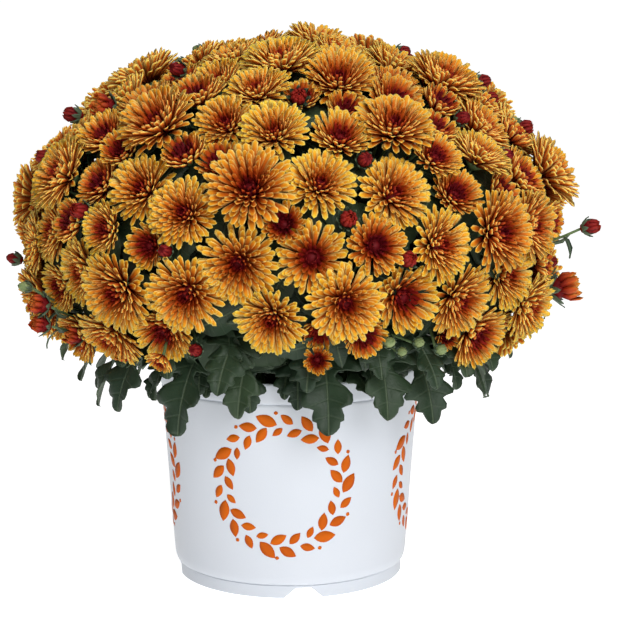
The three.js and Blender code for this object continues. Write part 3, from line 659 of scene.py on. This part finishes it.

# ---- Blooms ----
# Double blooms of spoon-shaped ray petals in up to nine rings, golden at their tips and rust at
# their roots, round a crimson heart. Each petal is a thin cupped strap, rooted in the receptacle.
# The raised rims of the petals are painted pale yellow. This is partly their own colour and partly
# a painted highlight, which leaves the hollows darker as painted shade.

# stations along a petal, and its width, cup and thickness at each, for a width of 1
OUTER_PETAL = np.array([
    (0, 0.44, 0.76, 0.94), (0.3, 0.62, 1, 0.86), (0.16, 0.18, 0.23, 0.27), (0.2, 0.18, 0.12, 0.08),
])
HEART_PETAL = np.array([(0, 0.6, 0.9), (0.4, 0.9, 0.8), (0.16, 0.2, 0.36), (0.25, 0.2, 0.12)])
NOSE_LENGTH = 0.12  # of a petal's tip past its last station, and how far it curls up
NOSE_CURL = 0.16
HEART_FROM = 0.55  # share of the rings from which the shorter heart petals stand
HEART_BEND = np.array([0.82, 0.4])  # where a petal in the heart bends
BLOOM_SINK = 0.09
BLOOM_TONE = (-1.1, 0.7)  # the ranges of what a whole bloom draws
BLOOM_OPENING = (0.8, 1.25)
BLOOM_GOLD = (-0.06, 0.06)
SUN_TONE = 0.8  # how much darker a bloom is that faces up, and how much wider open
SUN_OPENING = 0.22
PETAL_TURN = (-0.3, 0.3)  # the ranges of what each petal draws
PETAL_REACH = (0.91, 1.05)
PETAL_RISE = (-0.05, 0.05)
PETAL_WIDTH = (0.9, 1.1)
PETAL_TONE = (-0.5, 0.5)
PETAL_ARCH = 0.07
CUSHION = np.array([0.24, -0.2, 0.2])  # its reach, and its levels below and above
FULL_SIZE = 23.5  # radius from which all blooms are full
FULL_SHARE = 0.75  # of the smaller ones
LARGE_FROM = 20.5
MIDDLE_FROM = 16
# rings from the rim to the heart: petals, reach and rise of the tips, width, gold at root and tip;
# and where a rim petal bends, as shares of its reach and rise
LARGE_BLOOM = {"bend": (0.58, 0.74), "rings": [
    (20, 1.0, 0.15, 0.158, 0.32, 1.0), (20, 0.94, 0.27, 0.152, 0.32, 1.0),
    (19, 0.85, 0.36, 0.146, 0.32, 0.98), (18, 0.75, 0.43, 0.14, 0.32, 0.94),
    (16, 0.63, 0.46, 0.132, 0.31, 0.9), (14, 0.51, 0.47, 0.124, 0.28, 0.82),
    (12, 0.38, 0.46, 0.114, 0.2, 0.7), (10, 0.25, 0.43, 0.102, 0.1, 0.46),
    (8, 0.12, 0.39, 0.09, 0.0, 0.2),
]}
MIDDLE_BLOOM = {"bend": (0.68, 0.5), "rings": [
    (19, 0.99, 0.26, 0.176, 0.29, 1.0), (19, 0.91, 0.36, 0.168, 0.29, 1.0),
    (17, 0.79, 0.42, 0.16, 0.27, 0.95), (14, 0.65, 0.44, 0.152, 0.2, 0.82),
    (12, 0.49, 0.41, 0.146, 0.1, 0.5), (11, 0.34, 0.36, 0.128, 0.02, 0.18),
    (9, 0.17, 0.31, 0.11, 0.0, 0.06),
]}
SMALL_BLOOM = {"bend": (0.74, 0.36), "rings": [
    (16, 0.97, 0.4, 0.225, 0.24, 1.0), (15, 0.86, 0.51, 0.212, 0.2, 0.9),
    (12, 0.68, 0.54, 0.205, 0.08, 0.56), (11, 0.48, 0.46, 0.18, 0.0, 0.14),
    (9, 0.27, 0.39, 0.16, 0.0, 0.04),
]}
# small late blooms on the skirt: azimuth, distance and level, radius, turn aside and rise
LATE_BLOOMS = [
    ((6.8, 152, 168), 9.5, -4, 0.1), ((41, 146, 176), 9.5, -10, -0.1),
    ((-27.6, 160, 167), 9.5, -14, -1.1), ((150, 140, 170), 10, 5, 0.1),
    ((-140, 138, 172), 9, -6, 0.0),
]
FACE_STOPS = [
    (0.0, (0.11, 0.003, 0.006)), (0.16, (0.26, 0.012, 0.005)), (0.34, (0.45, 0.062, 0.005)),
    (0.55, (0.61, 0.150, 0.009)), (0.8, (0.77, 0.34, 0.016)), (1.0, (0.84, 0.57, 0.042)),
]
BACK_STOPS = [(0.1, (0.20, 0.012, 0.010)), (0.5, (0.46, 0.075, 0.012)), (1.0, (0.64, 0.18, 0.02))]
# pale yellow of the raised petal rims: partly their own colour, partly a painted highlight
RIM_YELLOW_AND_HIGHLIGHT = (0.92, 0.77, 0.25, 1)


def petals(skin, form, place, axes, turn, root, bend, tip, width, gold, tone, cup=1.0, kind=0):
    """Adds petals: root, bend and tip are (reach, rise) in a bloom with these sides and front."""
    forward, aside, front = axes
    stops, wide, cups, thick = form
    count, stations = len(turn), len(stops)
    share = stops[None, :, None]
    spine = curve(share, root[:, None], bend[:, None], tip[:, None])
    ahead = unit((1 - share) * (bend - root)[:, None] + share * (tip - bend)[:, None])
    over = np.stack([-ahead[..., 1], ahead[..., 0]], -1)
    half = width[:, None] / 2 * wide
    edge = spine + over * (width[:, None] * cups * cup)[..., None]
    back = spine - over * (width[:, None] * thick)[..., None]
    nose = tip + unit(tip - bend) * (NOSE_LENGTH * width)[:, None]
    nose = nose + over[:, -1] * (width * NOSE_CURL * cup)[:, None]
    radial = np.cos(turn)[:, None] * forward + np.sin(turn)[:, None] * aside
    tangent = np.cos(turn)[:, None] * aside - np.sin(turn)[:, None] * forward

    def spot(pair, side):
        middle = pair[..., :1] * radial[:, None] + pair[..., 1:] * front
        return middle + side[..., None] * tangent[:, None]

    none = np.zeros_like(half)
    ring = np.stack([spot(edge, half), spot(spine, none), spot(edge, -half), spot(back, none)], 2)
    noses = nose[:, :1] * radial + nose[:, 1:] * front
    points = np.concatenate([ring.reshape(count, -1, 3), noses[:, None]], 1) + place
    each = stations * 4 + 1
    quads, _, tris = ring_faces(stations, 4, 0, each - 1)
    quads = np.vstack([quads, [(3, 2, 1, 0)]])
    shift = (np.arange(count) * each)[:, None, None]
    climb = np.append(np.repeat(stops, 4), 1.0) ** 1.6
    golds = gold[0][:, None] + (gold[1] - gold[0])[:, None] * climb
    skin.add(
        points, (quads + shift).reshape(-1, 4), (tris + shift).reshape(-1, 3), kind,
        gold=golds.ravel(),
        edge=np.tile(np.append(np.tile([1.0, 0, 1, 0], stations), 0.8), count),
        under=np.tile(np.append(np.tile([0.0, 0, 0, 1], stations), 0.0), count),
        tone=np.repeat(tone, each),
    )


def cushion(skin, place, axes, reach, low, high, sides=10, **values):
    """The receptacle: a low dome under the petals that closes the bloom's middle."""
    outline = [(0, low), (0.6 * reach, low * 0.9), (reach, low * 0.3)]
    outline += [(0.8 * reach, high * 0.7), (0, high)]
    lathe(skin, outline, sides, axes, place, **values)


def bloom(skin, centre, axes, size, draw):
    """All the petals of one bloom, ring by ring, each a little different."""
    full = size >= FULL_SIZE or draw.random() < FULL_SHARE
    form_of = SMALL_BLOOM
    if size > MIDDLE_FROM:
        form_of = LARGE_BLOOM if size > LARGE_FROM and full else MIDDLE_BLOOM
    rings, bend = form_of["rings"], np.array(form_of["bend"])
    centre = centre - BLOOM_SINK * size * axes[2]
    cushion(skin, centre, axes, *(size * CUSHION))
    sunward = max(axes[2][2], 0)
    mood = draw.uniform(*BLOOM_TONE) - SUN_TONE * sunward
    opening = draw.uniform(*BLOOM_OPENING) * (1 + SUN_OPENING * sunward)
    heart = draw.uniform(*BLOOM_GOLD)
    for order, (count, reach, rise, wide, low_gold, high_gold) in enumerate(rings):
        turn = (np.arange(count) + draw.uniform(*PETAL_TURN, count)) * 2 * np.pi / count
        turn += draw.uniform(0, 2 * np.pi)
        reaches = reach * draw.uniform(*PETAL_REACH, count)
        rises = rise * (1 + (opening - 1) * reach) + draw.uniform(*PETAL_RISE, count)
        tip = np.column_stack([reaches, rises])
        depth = order / (len(rings) - 1)
        root = np.full((count, 2), [0.16 * (1 - 0.6 * depth), -0.14 + 0.1 * depth])
        arch = root + (tip - root) * (bend + (HEART_BEND - bend) * depth)
        arch[:, 1] += PETAL_ARCH * (1 - depth)
        width = wide * size * draw.uniform(*PETAL_WIDTH, count)
        gold = np.full((2, count), [[low_gold], [high_gold]]) + heart
        tone = mood + draw.uniform(*PETAL_TONE, count)
        form = OUTER_PETAL if order < HEART_FROM * len(rings) else HEART_PETAL
        shape = (root * size, arch * size, tip * size)
        petals(skin, form, centre, axes, turn, *shape, width, gold, tone)


def nearest_spray(point, candidates=range(SPRAYS)):
    leaders = centres[np.array(candidates) * MEMBERS]
    return candidates[int(np.argmin(np.linalg.norm(leaders - point, axis=1)))]


def axes_facing(azimuth, rise):
    """Two sides and the front of something that looks out at this azimuth and rise."""
    front = unit(polar(azimuth, 1, rise))
    aside = unit(np.cross(UP, front))
    return aside, np.cross(front, aside), front


petal_satin, wires = new_finish("petal_satin", 0.12)
flecks = (wires.grain(260) - 0.5) * 0.16
gold_share = wires.value_of("gold") + flecks + wires.value_of("tone") * 0.07
# the raised rims of gold petals are painted pale yellow: partly their own colour, partly a painted
# highlight that leaves the hollows darker as painted shade
rim_colour_and_highlight = wires.value_of("edge").between(0.4, 1.0) * gold_share.between(0.3, 0.85)
face = (rim_colour_and_highlight * 0.85).mixed(gold_share.tinted(FACE_STOPS), RIM_YELLOW_AND_HIGHLIGHT)
petal_colour = wires.value_of("under").between(0.3, 0.8).mixed(face, gold_share.tinted(BACK_STOPS))
feed(petal_satin, petal_colour, 0.5 + wires.grain(500) * 0.15, wires.grain(900), 0.0001)

late_blooms = [
    (nearest_spray(polar(*spot)), polar(*spot), axes_facing(spot[0] + turned, rise), size)
    for spot, size, turned, rise in LATE_BLOOMS
]
bloom_draw = np.random.default_rng(5)
for spray in range(SPRAYS):
    skin = Skin("gold", "edge", "under", "tone")
    for which in range(spray * MEMBERS, (spray + 1) * MEMBERS):
        axes = (acrosses[which], asides[which], facings[which])
        bloom(skin, centres[which], axes, radii[which], bloom_draw)
    for late_spray, *late in late_blooms:
        if late_spray == spray:
            bloom(skin, *late, bloom_draw)
    skin.piece(f"blooms_{spray + 1:02d}", [petal_satin], "bloom", f"spray_{spray + 1:02d}_blooms")

# ---- Stems, leaves and buds ----
# Green, slightly woody stems rise from the soil and fork into a stalk for every bloom, which ends
# in a cup of bracts. Dark matt leaves with lobed edges and pale veins stand on them, and buds.

STEM_KIND, LEAF_KIND, PETAL_KIND, BUD_KIND = 0, 1, 2, 3
STEM_ROOT = 108  # level in the soil where the stems begin
STEM_SIDES = 10
STEM_RADII = (2.6, 1.8, 1.5)  # at the foot, at the fork and at the top
STEM_RIBS = 0.06
HUB = 0.74  # where a stem forks, from its foot at 0 to its top at 1
STALK_SIDES = 6
STALK_RADII = (1.0, 0.85)
LATE_STALK = 0.9  # radius of the stalk of a late bloom
STALK_PULL = (0.3, 0.32)  # how far a stalk follows the stem, and the bloom's back
CUP_SIDES = 12
PETIOLE = [1.0, 0.85, 0.8, 0.5]  # its radii
BLADE_FOLD = 0.28
BLADE_THICKNESS = 0.5
BLADE_SKEW = 0.16  # how much wider one half may be
BLADE_WAVE = 0.028  # of its edges, and the gutter along its rib, as shares of its length
BLADE_GUTTER = 0.012
BLADE_CURL = 1.1
# the outline of half a blade: where a row leaves the rib, where along it ends, and how far out
LARGE_HALF = [
    (0, 0, 0.02), (0.1, 0.1, 0.022), (0.18, 0.18, 0.03), (0.22, 0.24, 0.1), (0.25, 0.3, 0.2),
    (0.28, 0.37, 0.29), (0.31, 0.44, 0.34), (0.34, 0.485, 0.335), (0.37, 0.49, 0.28),
    (0.4, 0.47, 0.19), (0.43, 0.465, 0.115), (0.46, 0.5, 0.085), (0.5, 0.545, 0.11),
    (0.54, 0.6, 0.17), (0.58, 0.665, 0.225), (0.62, 0.72, 0.245), (0.66, 0.75, 0.225),
    (0.7, 0.76, 0.165), (0.74, 0.775, 0.125), (0.79, 0.83, 0.155), (0.83, 0.87, 0.15),
    (0.87, 0.885, 0.105), (0.91, 0.93, 0.095), (0.95, 0.965, 0.07), (0.98, 0.99, 0.035),
    (1, 1, 0.006),
]
SMALL_HALF = [
    (0, 0, 0.03), (0.08, 0.1, 0.18), (0.15, 0.22, 0.28), (0.21, 0.27, 0.24), (0.27, 0.285, 0.14),
    (0.36, 0.4, 0.13), (0.47, 0.53, 0.215), (0.56, 0.61, 0.2), (0.63, 0.645, 0.13),
    (0.74, 0.77, 0.14), (0.84, 0.86, 0.1), (0.93, 0.94, 0.06), (1, 1, 0.01),
]
DEEP_HALF = [
    (0, 0, 0.05), (0.12, 0.14, 0.2), (0.28, 0.32, 0.32), (0.42, 0.44, 0.24), (0.56, 0.6, 0.28),
    (0.74, 0.76, 0.2), (0.9, 0.91, 0.1), (1, 1, 0.01),
]
BRACT_HALF = [(0, 0, 0.12), (0.35, 0.35, 0.2), (0.75, 0.75, 0.14), (1, 1, 0.01)]
LINEAR_HALF = [(0, 0, 0.03), (0.25, 0.25, 0.09), (0.6, 0.6, 0.11), (0.85, 0.85, 0.06), (1, 1, 0.01)]
SKIRT_SHARE = 0.5  # where on its stem a large leaf begins
# azimuth, distance from the axis, level, length, droop at the base and at the tip, and roll
SKIRT_LEAVES = [
    (-28, 99, 176, 74, 30, 86, 4), (-47, 106, 181, 68, 32, 82, -6), (-66, 99, 175, 66, 36, 80, 8),
    (-84, 107, 180, 60, 38, 74, -4), (-9, 106, 181, 62, 36, 84, -8), (12, 98, 176, 70, 32, 85, 6),
    (29, 106, 181, 66, 34, 84, -5), (46, 99, 175, 68, 34, 84, 8), (63, 107, 181, 64, 36, 78, -6),
    (81, 99, 175, 64, 38, 76, 6),
] + [
    (99 + 18 * k, *((107, 181, 64, 36, 80, -6) if k % 2 == 0 else (99, 176, 68, 34, 84, 6)))
    for k in range(10)
]
# how many leaves, distance, level, length and droop
TIERS = [
    (20, 92, 168, 44, (34, 88)), (26, 118, 188, 50, (26, 76)), (18, 66, 162, 46, (5, 50)),
    (18, 92, 198, 52, (15, 60)), (24, 84, 159, 34, (24, 74)),
]
DEEP_WHORLS = [(0.42, 0), (0.6, 0.5)]  # where on the stem each begins, and its turn
DEEP_LEAVES = 8  # in each whorl
POT_CLEARANCE = 18
PETIOLE_LENGTH = 7
STALK_SPOTS = (0.35, 0.7)  # where small leaves stand on a stalk
GAP_LEAVES = 105
GAP_SPOTS = 3000  # places on the dome that are tried
GAP_DEPTH = 13
LEAF_SPACING = 27
BUD_STALK = 0.64  # where a bud's stalk leaves its stem
BUD_CUSHION = np.array([0.86, -1.15, 1.05])
BUD_PETALS = [(9, 1.0), (7, 0.66), (4, 0.34)]  # in each ring, and how wide the ring is
LONG_STALK = 178  # buds beyond this distance stand on long stalks with narrow leaves
LONG_STALK_LEAVES = [(4, 1), (5, -1), (6, 1), (7, -1)]  # at which point of the path, and side
BRACTS = 8
GAP_BUDS = 34
BUD_TRIES = 260
BUD_SPACING = 26
BUD_LIFT = 4
BUD_STAGES = [0.0, 0.25, 0.45, 0.8]  # how far they have opened, and how likely each is
STAGE_ODDS = [0.25, 0.3, 0.25, 0.2]
# azimuth, distance from the axis, level, radius, how far it has opened
FREE_BUDS = [
    (66, 204, 240, 5, 0.45), (-88, 183, 212, 4.6, 0.1), (-93, 168, 193, 5, 0),
    (-100, 164, 178, 8, 0.9), (82, 180, 195, 8.5, 1), (22, 160, 178, 4, 0), (36, 156, 170, 4, 0),
    (-21, 150, 172, 4.5, 0.2), (133, 184, 204, 4.4, 0.3), (171, 174, 196, 4.4, 0.2),
    (-137, 184, 204, 4.4, 0.4),
    # and smaller ones low on the skirt
    (-95, 172, 186, 6.5, 0.75), (-99, 170, 173, 5.5, 0.6), (-58, 156, 172, 5.5, 0.8),
    (-44, 140, 166, 7, 1.0), (27, 150, 170, 3.4, 0.0), (31, 152, 175, 3.7, 0.0),
    (20, 146, 171, 3.2, 0.0),
    # some in front of the blooms on the left, and on the right shoulder
    (-56, 182, 194, 5.6, 0.8), (-57, 180, 181, 5.2, 0.7), (-62, 184, 203, 4, 0.0),
    (90, 126, 329, 5.2, 0.35), (79, 153, 299, 5.5, 0.45), (84, 147, 303, 4, 0.0),
]
STEM_GREENS = ((0.045, 0.085, 0.03, 1), (0.13, 0.19, 0.07, 1))
LEAF_GREENS = ((0.008, 0.020, 0.011, 1), (0.024, 0.047, 0.023, 1))
PALE_LEAF = (0.038, 0.066, 0.026, 1)
VEIN_GREEN = (0.09, 0.125, 0.07, 1)
UNDERSIDE = (0.10, 0.145, 0.085, 1)
BUD_GREENS = ((0.07, 0.125, 0.04, 1), (0.30, 0.35, 0.15, 1))

greens = [Skin("gold", "edge", "under", "tone", "rib", "share") for _ in range(SPRAYS)]
green_draw = np.random.default_rng(31)
swerve = green_draw.uniform


def tube(skin, path, thickness, sides, ribs=0.0):
    """A round or ribbed stem along a path, with a thickness at each point and closed ends."""
    path = np.asarray(path, float)
    along = unit(np.gradient(path, axis=0))
    side = np.cross([0.3, 0.2, 1.0] if abs(along[0][2]) < 0.9 else [1.0, 0.2, 0], along[0])
    angles = np.arange(sides) * 2 * np.pi / sides
    bulge = 1 + ribs * (-1.0) ** np.arange(sides)
    rings = []
    for middle, ahead, thick in zip(path, along, thickness):
        side = unit(side - ahead * side.dot(ahead))
        around = np.cos(angles)[:, None] * side + np.sin(angles)[:, None] * np.cross(ahead, side)
        rings.append(middle + (thick * bulge)[:, None] * around)
    points = np.vstack([*rings, path[:1], path[-1:]])
    quads, low, high = ring_faces(len(path), sides, len(points) - 2, len(points) - 1)
    skin.add(points, quads, np.vstack([low, high]), kind=STEM_KIND)


def blade(skin, half, base, out, up, length, droop, roll=0, columns=3):
    """A lobed blade from its base: folded along its rib, drooping, its edges slightly waved."""
    side = unit(np.cross(up, out))
    start, turn = math.radians(droop[0]), math.radians(droop[1] - droop[0])
    tilt = math.radians(roll)
    share, ends, width = np.repeat(np.array(half), columns, axis=0).T
    across = np.tile(np.linspace(-1, 1, columns), len(half))
    lopsided = 1 + BLADE_SKEW * swerve(-1, 1) * np.sign(across)
    aside = across * (width * lopsided * (1 + 0.05 * np.sin(share * 37 + swerve(0, 6))))
    along = share + (ends - share) * np.abs(across)
    bending = start + turn * along
    forward = (length / turn) * (np.sin(bending) - math.sin(start))
    down = (length / turn) * (math.cos(start) - np.cos(bending))
    normal = np.sin(bending)[:, None] * out + np.cos(bending)[:, None] * up
    sideways = side * math.cos(tilt) + normal * math.sin(tilt)
    crown = normal * math.cos(tilt) - side * math.sin(tilt)
    ripple = np.sin(along * 17 + swerve(0, 6.28) + 2.0 * np.sign(across))
    wave = BLADE_WAVE * length * np.abs(across) ** 2 * ripple
    gutter = BLADE_GUTTER * length * (1 - np.exp(-((aside * length / 1.6) ** 2)))
    curl = swerve(0, BLADE_CURL) * aside**2 * length
    rise = np.abs(aside) * length * math.sin(BLADE_FOLD) + wave + gutter - curl
    points = (
        base + forward[:, None] * out - down[:, None] * up
        + (aside * length * math.cos(BLADE_FOLD))[:, None] * sideways + rise[:, None] * crown
    )
    lift = crown * BLADE_THICKNESS / 2
    skin.add(
        np.vstack([points + lift, points - lift]), sheet_faces(len(half), columns), kind=LEAF_KIND,
        rib=np.tile(np.abs(aside) * length, 2), share=np.tile(share, 2),
        under=np.repeat([0.0, 1.0], len(points)), tone=swerve(-1, 1),
    )


def leaf(spray, half, root, base, out, up, length, droop, roll, columns=3):
    """A blade on its petiole, which runs back to its root inside a stem."""
    blade(greens[spray], half, base, out, up, length, droop, roll, columns)
    tip = base + out * length * 0.06 * math.cos(math.radians(droop[0]))
    middle = (root + base) / 2 + up * 0.06 * np.linalg.norm(base - root)
    tube(greens[spray], [root, middle, base, tip], PETIOLE, 4)


def perched_leaf(spray, half, root, out, normal, lengths, droops, roll):
    """A leaf that stands off a stem, with its face towards a normal."""
    up = unit(normal - out * normal.dot(out))
    length, droop = swerve(*lengths), (0, swerve(*droops))
    base = root + out * PETIOLE_LENGTH
    leaf(spray, half, root, base, out, up, length, droop, swerve(-roll, roll))


def bud(end, radius, opened):
    """A bud in its bracts at the end of a stalk: closed and green, crimson, or half open."""
    spray = nearest_spray(end)
    skin, root = greens[spray], on_stem(spray, BUD_STALK)
    far = math.hypot(end[0], end[1]) > LONG_STALK
    axes = axes_facing(math.degrees(math.atan2(end[0], -end[1])), 0.25)
    front = axes[2]
    arch = (-0.16 if far else 0.05) * np.linalg.norm(end - root)
    way = (root, (root + end) / 2 + arch * UP, end - front * radius * 1.1)
    path = along_way(way, np.linspace(0, 1, 9))
    tube(skin, path, np.full(9, STALK_RADII[1]), STALK_SIDES)
    for spot, side in LONG_STALK_LEAVES if far else ():
        out = unit(0.7 * front + side * 0.6 * axes[0] - 0.5 * axes[1])
        up = unit(np.cross(out, axes[0]) * -side)
        blade(skin, LINEAR_HALF, path[spot], out, up, 17, (5, 70))
    kind = PETAL_KIND if opened > 0.05 else BUD_KIND
    cushion(skin, end, axes, *(radius * BUD_CUSHION), 8, gold=0.1, tone=-1.0, kind=kind)
    for order, (count, reach) in enumerate(BUD_PETALS):
        turn = (np.arange(count) + 0.5 * order) * 2 * np.pi / count + swerve(-0.1, 0.1, count)
        foot = np.full((count, 2), [0.3, -0.5])
        bulge = np.full((count, 2), [(1.15 + 0.15 * opened) * reach, 0.25])
        tip = np.full((count, 2), [(0.1 + opened) * reach, 1.35 - 0.1 * opened])
        tip *= 1 + opened * swerve(-0.22, 0.22, (count, 1))
        gold = 0.1 + (0.75 + 0.1 * order) * max(opened - 0.3, 0)
        golds, tone = np.full((2, count), [[0.02], [gold]]), np.full(count, -1.0)
        shape = (foot * radius, bulge * radius, tip * radius, np.full(count, 0.72 * radius))
        petals(skin, HEART_PETAL, end, axes, turn, *shape, golds, tone, 0.5, kind)
    for turn in np.arange(BRACTS) * 2 * math.pi / BRACTS:
        out = math.cos(turn) * axes[0] + math.sin(turn) * axes[1]
        base = end - front * radius + out * radius * 0.25
        ahead, up = unit(out + 0.5 * front), unit(front - out * 0.5)
        blade(skin, BRACT_HALF, base, ahead, up, radius * 1.7, (5, -75 + 50 * opened))


def room_at(spots):
    """How far these places are from the edge of the nearest bloom."""
    return (np.linalg.norm(spots[:, None] - centres[None], axis=2) - radii[None]).min(1)


for spray, skin in enumerate(greens):
    way = stem_ways[spray]
    path = np.vstack([[*way[0][:2], STEM_ROOT], along_way(way, np.linspace(0, 1, 15))])
    thick = np.interp(np.linspace(0, 1, len(path)), [0, HUB, 1], STEM_RADII)
    tube(skin, path, thick, STEM_SIDES, STEM_RIBS)
    for member in range(MEMBERS):
        which = spray * MEMBERS + member
        front, cup, size = facings[which], calyx_ends[which], radii[which]
        if member:
            fork = on_stem(spray, HUB + swerve(-0.1, 0.04))
            span = np.linalg.norm(cup - fork)
            pull = fork + unit(way[2] - way[1]) * STALK_PULL[0] * span
            push = cup - front * STALK_PULL[1] * span
            share = np.linspace(0, 1, 9)[:, None]
            first, last = curve(share, fork, pull, push), curve(share, pull, push, cup)
            path = (1 - share) * first + share * last
            tube(skin, path, np.linspace(*STALK_RADII, len(path)), STALK_SIDES)
        outline = [
            (0, -0.1 * size - 3), (1.0, -0.1 * size - 2.8), (0.16 * size, -0.07 * size - 1),
            (0.28 * size, 0), (0.27 * size, 0.06 * size), (0, 0.08 * size),
        ]
        axes = (acrosses[which], asides[which], front)
        lathe(skin, outline, CUP_SIDES, axes, cup, kind=STEM_KIND)
for spray, centre, axes, size in late_blooms:
    root = on_stem(spray, BUD_STALK)
    back = centre - 0.2 * size * axes[2]
    path = along_way((root, (root + back) / 2 + 12 * UP, back), np.linspace(0, 1, 8))
    tube(greens[spray], path, np.full(8, LATE_STALK), STALK_SIDES)

low_sprays = [spray for spray in range(SPRAYS) if lifts[spray * MEMBERS] < 0.05]


def rim_leaf(azimuth, share, base, turned, length, droop, roll, columns):
    """A large leaf near the rim, from its share of the way up the nearest low stem."""
    spray = nearest_spray(polar(azimuth, DOME_RADIUS, DOME_EDGE), low_sprays)
    root, out = on_stem(spray, share), polar(azimuth + turned, 1, 0)
    leaf(spray, LARGE_HALF, root, base, out, UP, length, droop, roll, columns)


# The large leaves of the skirt, which hang over the rim.
for azimuth, *place, length, start, end, roll in SKIRT_LEAVES:
    base, turned = polar(azimuth, *place), swerve(-18, 18)
    roll += swerve(-12, 12)
    rim_leaf(azimuth, SKIRT_SHARE, base, turned, length, (start, end), roll, 9)

# Leaves between, under and over the large ones: five tiers round the rim.
for tier, (count, distance, level, length, droop) in enumerate(TIERS):
    for k in range(count):
        azimuth = 360 * (k + 0.5 * (tier % 2)) / count + swerve(-5, 5)
        share = 0.34 + 0.2 * green_draw.random()
        base = polar(azimuth, distance + swerve(-5, 5), level + swerve(-6, 6))
        turned, size = swerve(-22, 22), length * swerve(0.85, 1.12)
        rim_leaf(azimuth, share, base, turned, size, droop, swerve(-16, 16), 5)

# Two whorls of broad leaves deep in the plant, round each main stem.
for spray in range(SPRAYS):
    outward = unit(on_stem(spray, 0.6) - 160 * UP)
    across = unit(np.cross(outward, [0.3, 0.2, 1.0]))
    upward = np.cross(outward, across)
    for low, first in DEEP_WHORLS:
        for k in range(DEEP_LEAVES):
            root = on_stem(spray, low + 0.12 * k / DEEP_LEAVES)
            swing = 2 * math.pi * (k + first + swerve(-0.3, 0.3)) * 3 / DEEP_LEAVES
            out = unit(math.cos(swing) * across + math.sin(swing) * upward + 0.15 * outward)
            if root[2] + 70 * out[2] < POT_HEIGHT + POT_CLEARANCE:
                out = unit(out * [1, 1, -0.2])
            perched_leaf(spray, DEEP_HALF, root, out, outward, (50, 66), (15, 40), 15)

# Small leaves on the stalks, in the gaps between the blooms.
for which in np.flatnonzero(member_of):
    spray = spray_of[which]
    for share in STALK_SPOTS:
        fork = on_stem(spray, HUB)
        root = fork + (calyx_ends[which] - fork) * share
        normal = heading_of(turns[which], slopes[which])
        around = round_axis(turns[which])
        swing = swerve(0, 2 * math.pi)
        upward = np.cross(normal, around)
        out = unit(math.cos(swing) * around + math.sin(swing) * upward + 0.35 * normal)
        perched_leaf(spray, SMALL_HALF, root, out, normal, (30, 44), (15, 45), 20)

for *place, radius, opened in FREE_BUDS:
    bud(polar(*place), radius, opened)

# Buds that have come up in the widest gaps.
taken = []
for _ in range(GAP_BUDS):
    turn = swerve(0, 2 * math.pi, BUD_TRIES)
    _, slope, spots = dome_at(turn, np.arcsin(swerve(-0.2, 0.97, BUD_TRIES)))
    room_left = room_at(spots)
    for other in taken:
        room_left = np.minimum(room_left, np.linalg.norm(spots - other, axis=1) - BUD_SPACING)
    best = int(np.argmax(room_left))
    taken.append(spots[best])
    opened = green_draw.choice(BUD_STAGES, p=STAGE_ODDS)
    radius = swerve(3.4, 4.4) + 3 * opened
    bud(spots[best] + heading_of(turn[best], slope[best]) * BUD_LIFT, radius, opened)

# Leaves under the dome's surface, behind the widest gaps.
grid = np.arange(GAP_SPOTS)
turn = grid * SPIRAL
_, slope, spots = dome_at(turn, np.arcsin(0.99 - 1.37 * grid / GAP_SPOTS))
room_left = room_at(spots)
for _ in range(GAP_LEAVES):
    best = int(np.argmax(room_left))
    room_left = np.minimum(room_left, np.linalg.norm(spots - spots[best], axis=1) - LEAF_SPACING)
    normal = heading_of(turn[best], slope[best])
    around = round_axis(turn[best])
    swing = swerve(-1.2, 1.2)
    out = math.cos(swing) * np.cross(around, normal) + math.sin(swing) * around
    length = swerve(36, 46)
    base = spots[best] - normal * GAP_DEPTH - out * length * 0.45
    spray = nearest_spray(base)
    droop = (-8, swerve(5, 20))
    leaf(spray, DEEP_HALF, on_stem(spray, HUB), base, out, normal, length, droop, swerve(-15, 15))

stem_green, wires = new_finish("stem_green", 0.3)
streak = wires.grain(160, 4, 0.8)
feed(stem_green, streak.mixed(*STEM_GREENS), 0.5 + streak * 0.2, wires.grain(900, 3), 0.0002)
leaf_green, wires = new_finish("leaf_green", 0.3)
rib_line = 1 - wires.value_of("rib").between(0.25, 0.9)
side_veins = wires.maths("PINGPONG", wires.value_of("share") * 7 + 0.2, 0.5)
side_veins = 1 - side_veins.between(0.02, 0.1)
tissue = wires.grain(120, 4, 0.5)
face = wires.grain(30, 3).mixed(*LEAF_GREENS)
face = (wires.value_of("tone") * 0.25 + 0.25).mixed(face, PALE_LEAF)
face = (rib_line * 0.5 + side_veins * 0.1).mixed(face, VEIN_GREEN)
feed(
    leaf_green, (wires.value_of("under") * 0.7).mixed(face, UNDERSIDE), 0.43 + tissue * 0.16,
    tissue * 0.5 + rib_line * -0.6 + side_veins * -0.25 + wires.grain(700) * 0.3, 0.0006,
)
bud_green, wires = new_finish("bud_green", 0.3)
bud_colour = wires.grain(350, 3).mixed(*BUD_GREENS)
feed(bud_green, bud_colour, 0.5 + wires.grain(500) * 0.15, wires.grain(900), 0.0002)
for spray, skin in enumerate(greens):
    finishes = [stem_green, leaf_green, petal_satin, bud_green]
    skin.piece(f"greens_{spray + 1:02d}", finishes, "green", f"spray_{spray + 1:02d}_greens")
